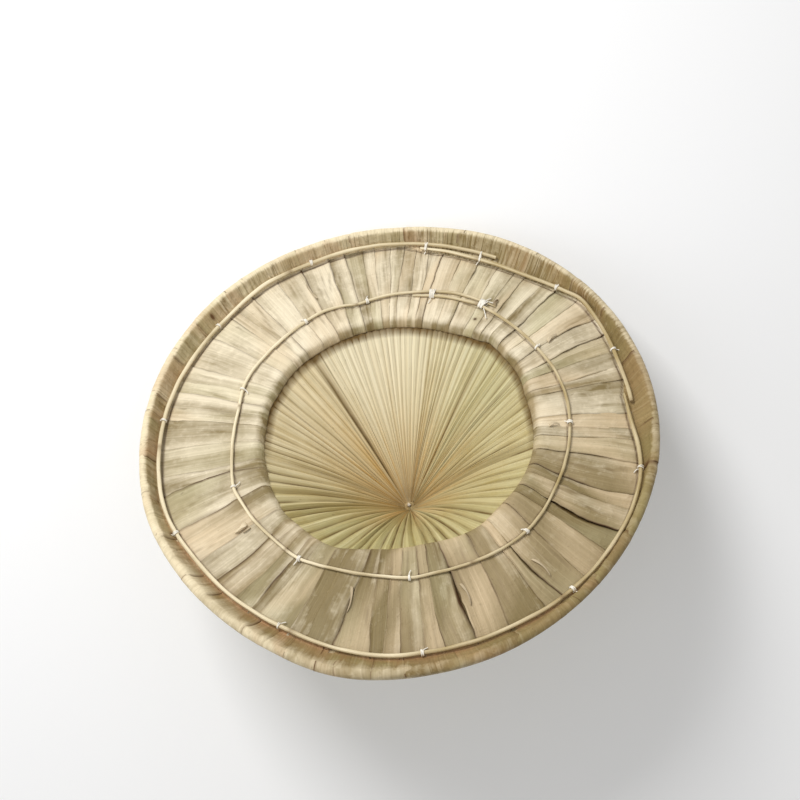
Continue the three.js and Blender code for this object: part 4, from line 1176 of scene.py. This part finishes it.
def ties(name, hoop):
    """All ties of a hoop: each has a few turns of thread side by side, a little aslant."""
    places, lies, across, reach, tone = [], [], [], [], []
    for i, (azimuth, held) in enumerate(hoop.ties):
        turns = TIE_TURNS[i % len(TIE_TURNS)] + (hoop.doubled if held == 2 else 0)
        for k in range(turns):
            a = azimuth + math.degrees((k - (turns - 1) / 2) * TURN_PITCH / hoop.turn_radius)
            radii = canes_at(hoop.canes, a)
            low, high = radii[0], radii[-1] if held == 2 else radii[0]
            first, last = on_brim(low, a, hoop.rise), on_brim(high, a, hoop.rise)
            ahead = on_brim(canes_at(hoop.canes, a + 0.5)[0], a + 0.5, hoop.rise) - first
            sideways = on_brim(low + 1, a, hoop.rise) - first
            places.append(0.5 * (first + last))
            lies.append(ahead / np.linalg.norm(ahead) + random.uniform(-0.22, 0.22) * sideways)
            across.append(sideways)
            reach.append((high - low) / 1000)
            tone.append(random.uniform(0.6, 1.0))
    return grown(
        name, LOOP_TREE, rested(np.array(places)), [],
        {"Lies": np.array(lies) @ TURNED.T, "Across": np.array(across) @ TURNED.T, "Reach": reach,
         "Tone": tone, "Brown": np.zeros(len(reach))},
        {"Thread": TIE_THREAD, "Cane": hoop.held, "Seed": 5, "Finish": thread_finish},
    )


def thread_ends():
    """Loose ends of the ties and their stitches outside, each a path of radius, azimuth and height."""
    source = np.random.default_rng(41)
    t = np.linspace(0, 1, 7)
    paths = []
    for hoop in (OUTER, INNER):
        for azimuth, held in hoop.ties:
            radius = canes_at(hoop.canes, azimuth)[0]
            bundle = held == 2 and hoop is INNER
            side = source.choice((-1, 1))
            length = source.uniform(2.5, 5.0) * (2.0 if bundle else 1.0)
            bend = source.uniform(-1.5, 1.5)
            away = radius + side * (1.2 + length * t)
            paths.append(on_brim(away, azimuth + bend * t * t, 2.6 + 0.6 * np.sin(3 * t) - t))
            if bundle and azimuth < 60:
                paths.append(on_brim(radius - 2 - 7 * t, azimuth - 1.5 - 3.0 * t, 3.2 - 1.6 * t))
                paths.append(on_brim(radius + 5 + 3 * t, azimuth - 3.5 * t, 3.4 - 1.2 * t))
            stitched = azimuth + hoop.stitch_half * (2 * t - 1)
            paths.append(on_brim(radius, stitched, hoop.stitch_level - 0.55 * np.sin(math.pi * t)))
    points = np.concatenate(paths)
    edges = [edge for i in range(len(paths)) for edge in linked(i * len(t), len(t))]
    swell = np.ones(len(points))
    return grown(
        "thread_ends", CANE_TREE, rested(points), edges,
        {"Swell": swell, "Tone": 0.8 * swell, "Brown": 0 * swell},
        {"Width": 0.0008, "Thickness": 0.0007, "Sides": THREAD_SIDES, "Finish": thread_finish},
    )


def apex_knot():
    """The small thread knot in the crown's tip: a few turns that cross."""
    source = np.random.default_rng(6)
    turns = 5
    lies = source.normal(size=(turns, 3)) * (1, 1, 0.35)
    across = np.cross(lies, (0, 0, 1.0))
    spots = np.array([0.0, 0.0, KNOT_LEVEL]) + source.uniform(-0.3, 0.3, (turns, 3))
    return grown(
        "apex_thread", LOOP_TREE, rested(spots), [],
        {"Lies": lies @ TURNED.T, "Across": across @ TURNED.T, "Reach": np.full(turns, 0.0007),
         "Tone": np.full(turns, 0.7), "Brown": np.full(turns, 0.15)},
        {"Thread": 0.0007, "Cane": 0.0011, "Seed": 3, "Finish": thread_finish},
    )


# The stub's outline down the hat's axis: share of the way, radius and height in millimetres
STUB = (
    (0, 6.4, -129.6), (0.15, 5.4, -132), (0.3, 5.6, -134.6), (0.45, 7.4, -136.8), (0.65, 7.9, -139.6),
    (0.87, 6.4, -141.4), (1.0, 0.4, -141.8),
)


def stalk_stub():
    """The gathered stalk outside the crown's tip: brown folds, pressed flat where it rests."""
    t = np.linspace(0, 1, STUB_POINTS[0])[:, None]
    azimuth = np.linspace(0, 360, STUB_POINTS[1])[None, :]
    shares, radii, heights = zip(*STUB)
    height = np.interp(t, shares, heights)
    ridge = 0.32 * np.sin(np.radians(azimuth * 17) + 2 * t) + 0.2 * np.sin(np.radians(azimuth * 29 + 40))
    radius = np.interp(t, shares, radii) + ridge * (1 - t ** 6)
    outer = polar(radius, azimuth, height)
    inner = polar(np.maximum(radius - STUB_WALL, 0.1), azimuth, height + 0.5)
    pile = Pile()
    # Painted light and shade: paler on the folds' ridges and browner between them, over the stalk's own brown
    pile.grid(
        outer, inner, np.radians(azimuth) * 0.008, t * 0.016, Tone=0.5 + 0.9 * ridge, Brown=0.2 - 0.5 * ridge
    )
    return pile.made("stalk_stub_folds", stalk_finish)


# Put the hat together

def dress(piece, nodes):
    """What a piece rides on, and which solids it stands for, which are hidden."""
    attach(piece, "root")
    if nodes:
        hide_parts(*nodes)


dress(pleated_fan(), ["fan_leaf"])
dress(brim_strips("brim_strips_far", 0, 171), ["brim_strips"])
dress(brim_strips("brim_strips_near", 171, 361), ["brim_strips"])
dress(rim_wraps("rim_binding_far", 0, 180), ["rim_binding"])
dress(rim_wraps("rim_binding_near", 180, 361), ["rim_binding"])
dress(cane("outer_cane_long", OUTER_LONG, OUTER, 11, (0.95, 0.35)), ["outer_hoop_long"])
dress(cane("outer_cane_short", OUTER_SHORT, OUTER, 21, (0.9, 0.6)), ["outer_hoop_short"])
dress(cane("inner_cane", INNER_CANE, INNER, 31, (0.3, 0.6)), ["inner_hoop"])
dress(ties("outer_thread", OUTER), [f"outer_tie_{n:02d}" for n in range(1, 13)])
dress(ties("inner_thread", INNER), [f"inner_tie_{n:02d}" for n in range(1, 12)])
dress(thread_ends(), [])
dress(apex_knot(), ["apex_knot"])
dress(stalk_stub(), ["stalk_stub"])


# Floor, light and camera

# Half the floor's width in metres, its tone, and the sky's strength
FLOOR_HALF = 20
FLOOR_WHITE = 0.9
SKY_STRENGTH = 0.54

# Lamps: name, place and aim in metres, power in watts and width in metres
LAMPS = (
    ("window", (-0.42, 0.85, 1.1), (-0.02, 0.04, 0.08), 13.5, 0.5),
    ("fill", (-1.3, -0.6, 1.6), (0, 0, 0.1), 5, 1.4),
)

# The photograph: its line of sight off the hat's axis and its roll, the camera's distance in rim radii, the
# picture's width and the rim's radius in pixels, the sensor's width in millimetres and the lens shifts
SIGHT_LEAN = math.radians(32.91)
SIGHT_ROLL = math.radians(8.72)
CAMERA_DISTANCE = 4.5
PHOTO_WIDTH = 800
RIM_PIXELS = 260.67
SENSOR = 36
LENS_SHIFT = (0.0039, 0.0303)


def floor():
    corners = [(x * FLOOR_HALF, y * FLOOR_HALF, 0) for x, y in ((-1, -1), (1, -1), (1, 1), (-1, 1))]
    mesh = bpy.data.meshes.new("floor")
    mesh.from_pydata(corners, [], [(0, 1, 2, 3)])
    paint = bpy.data.materials.new("pale floor")
    paint.use_nodes = True
    shader = paint.node_tree.nodes["Principled BSDF"]
    shader.inputs["Base Color"].default_value = (FLOOR_WHITE, FLOOR_WHITE, FLOOR_WHITE, 1)
    shader.inputs["Roughness"].default_value = 0.8
    mesh.materials.append(paint)
    placed("floor", mesh)


def light():
    world = bpy.data.worlds.new("studio")
    world.use_nodes = True
    background = world.node_tree.nodes["Background"]
    background.inputs["Color"].default_value = (1, 1, 1, 1)
    background.inputs["Strength"].default_value = SKY_STRENGTH
    bpy.context.scene.world = world
    for name, place, aim, power, width in LAMPS:
        lamp = bpy.data.lights.new(name, "AREA")
        lamp.energy = power
        lamp.size = width
        hung = placed(name, lamp)
        hung.location = place
        hung.rotation_euler = (Vector(aim) - Vector(place)).to_track_quat("-Z", "Y").to_euler()


def photo_camera():
    """The photograph's line of sight, leant off the hat's axis and rolled a little."""
    lean, roll = SIGHT_LEAN, SIGHT_ROLL
    right = Vector((math.cos(roll), -math.sin(roll) * math.cos(lean), -math.sin(roll) * math.sin(lean)))
    up = Vector((math.sin(roll), math.cos(roll) * math.cos(lean), math.cos(roll) * math.sin(lean)))
    back = Vector((0, -math.sin(lean), math.cos(lean)))
    facing_hat = REST.to_3x3().normalized() @ Matrix((right, up, back)).transposed()
    lens = bpy.data.cameras.new("photo")
    lens.sensor_width = SENSOR
    lens.lens = SENSOR * RIM_PIXELS * CAMERA_DISTANCE / PHOTO_WIDTH
    lens.shift_x, lens.shift_y = LENS_SHIFT
    lens.clip_end = 50
    camera = placed("photo", lens)
    camera.matrix_world = Matrix.Translation(REST @ (back * (CAMERA_DISTANCE * RIM))) @ facing_hat.to_4x4()
    bpy.context.scene.camera = camera


floor()
light()
photo_camera()
bpy.context.scene.view_settings.view_transform = "Standard"
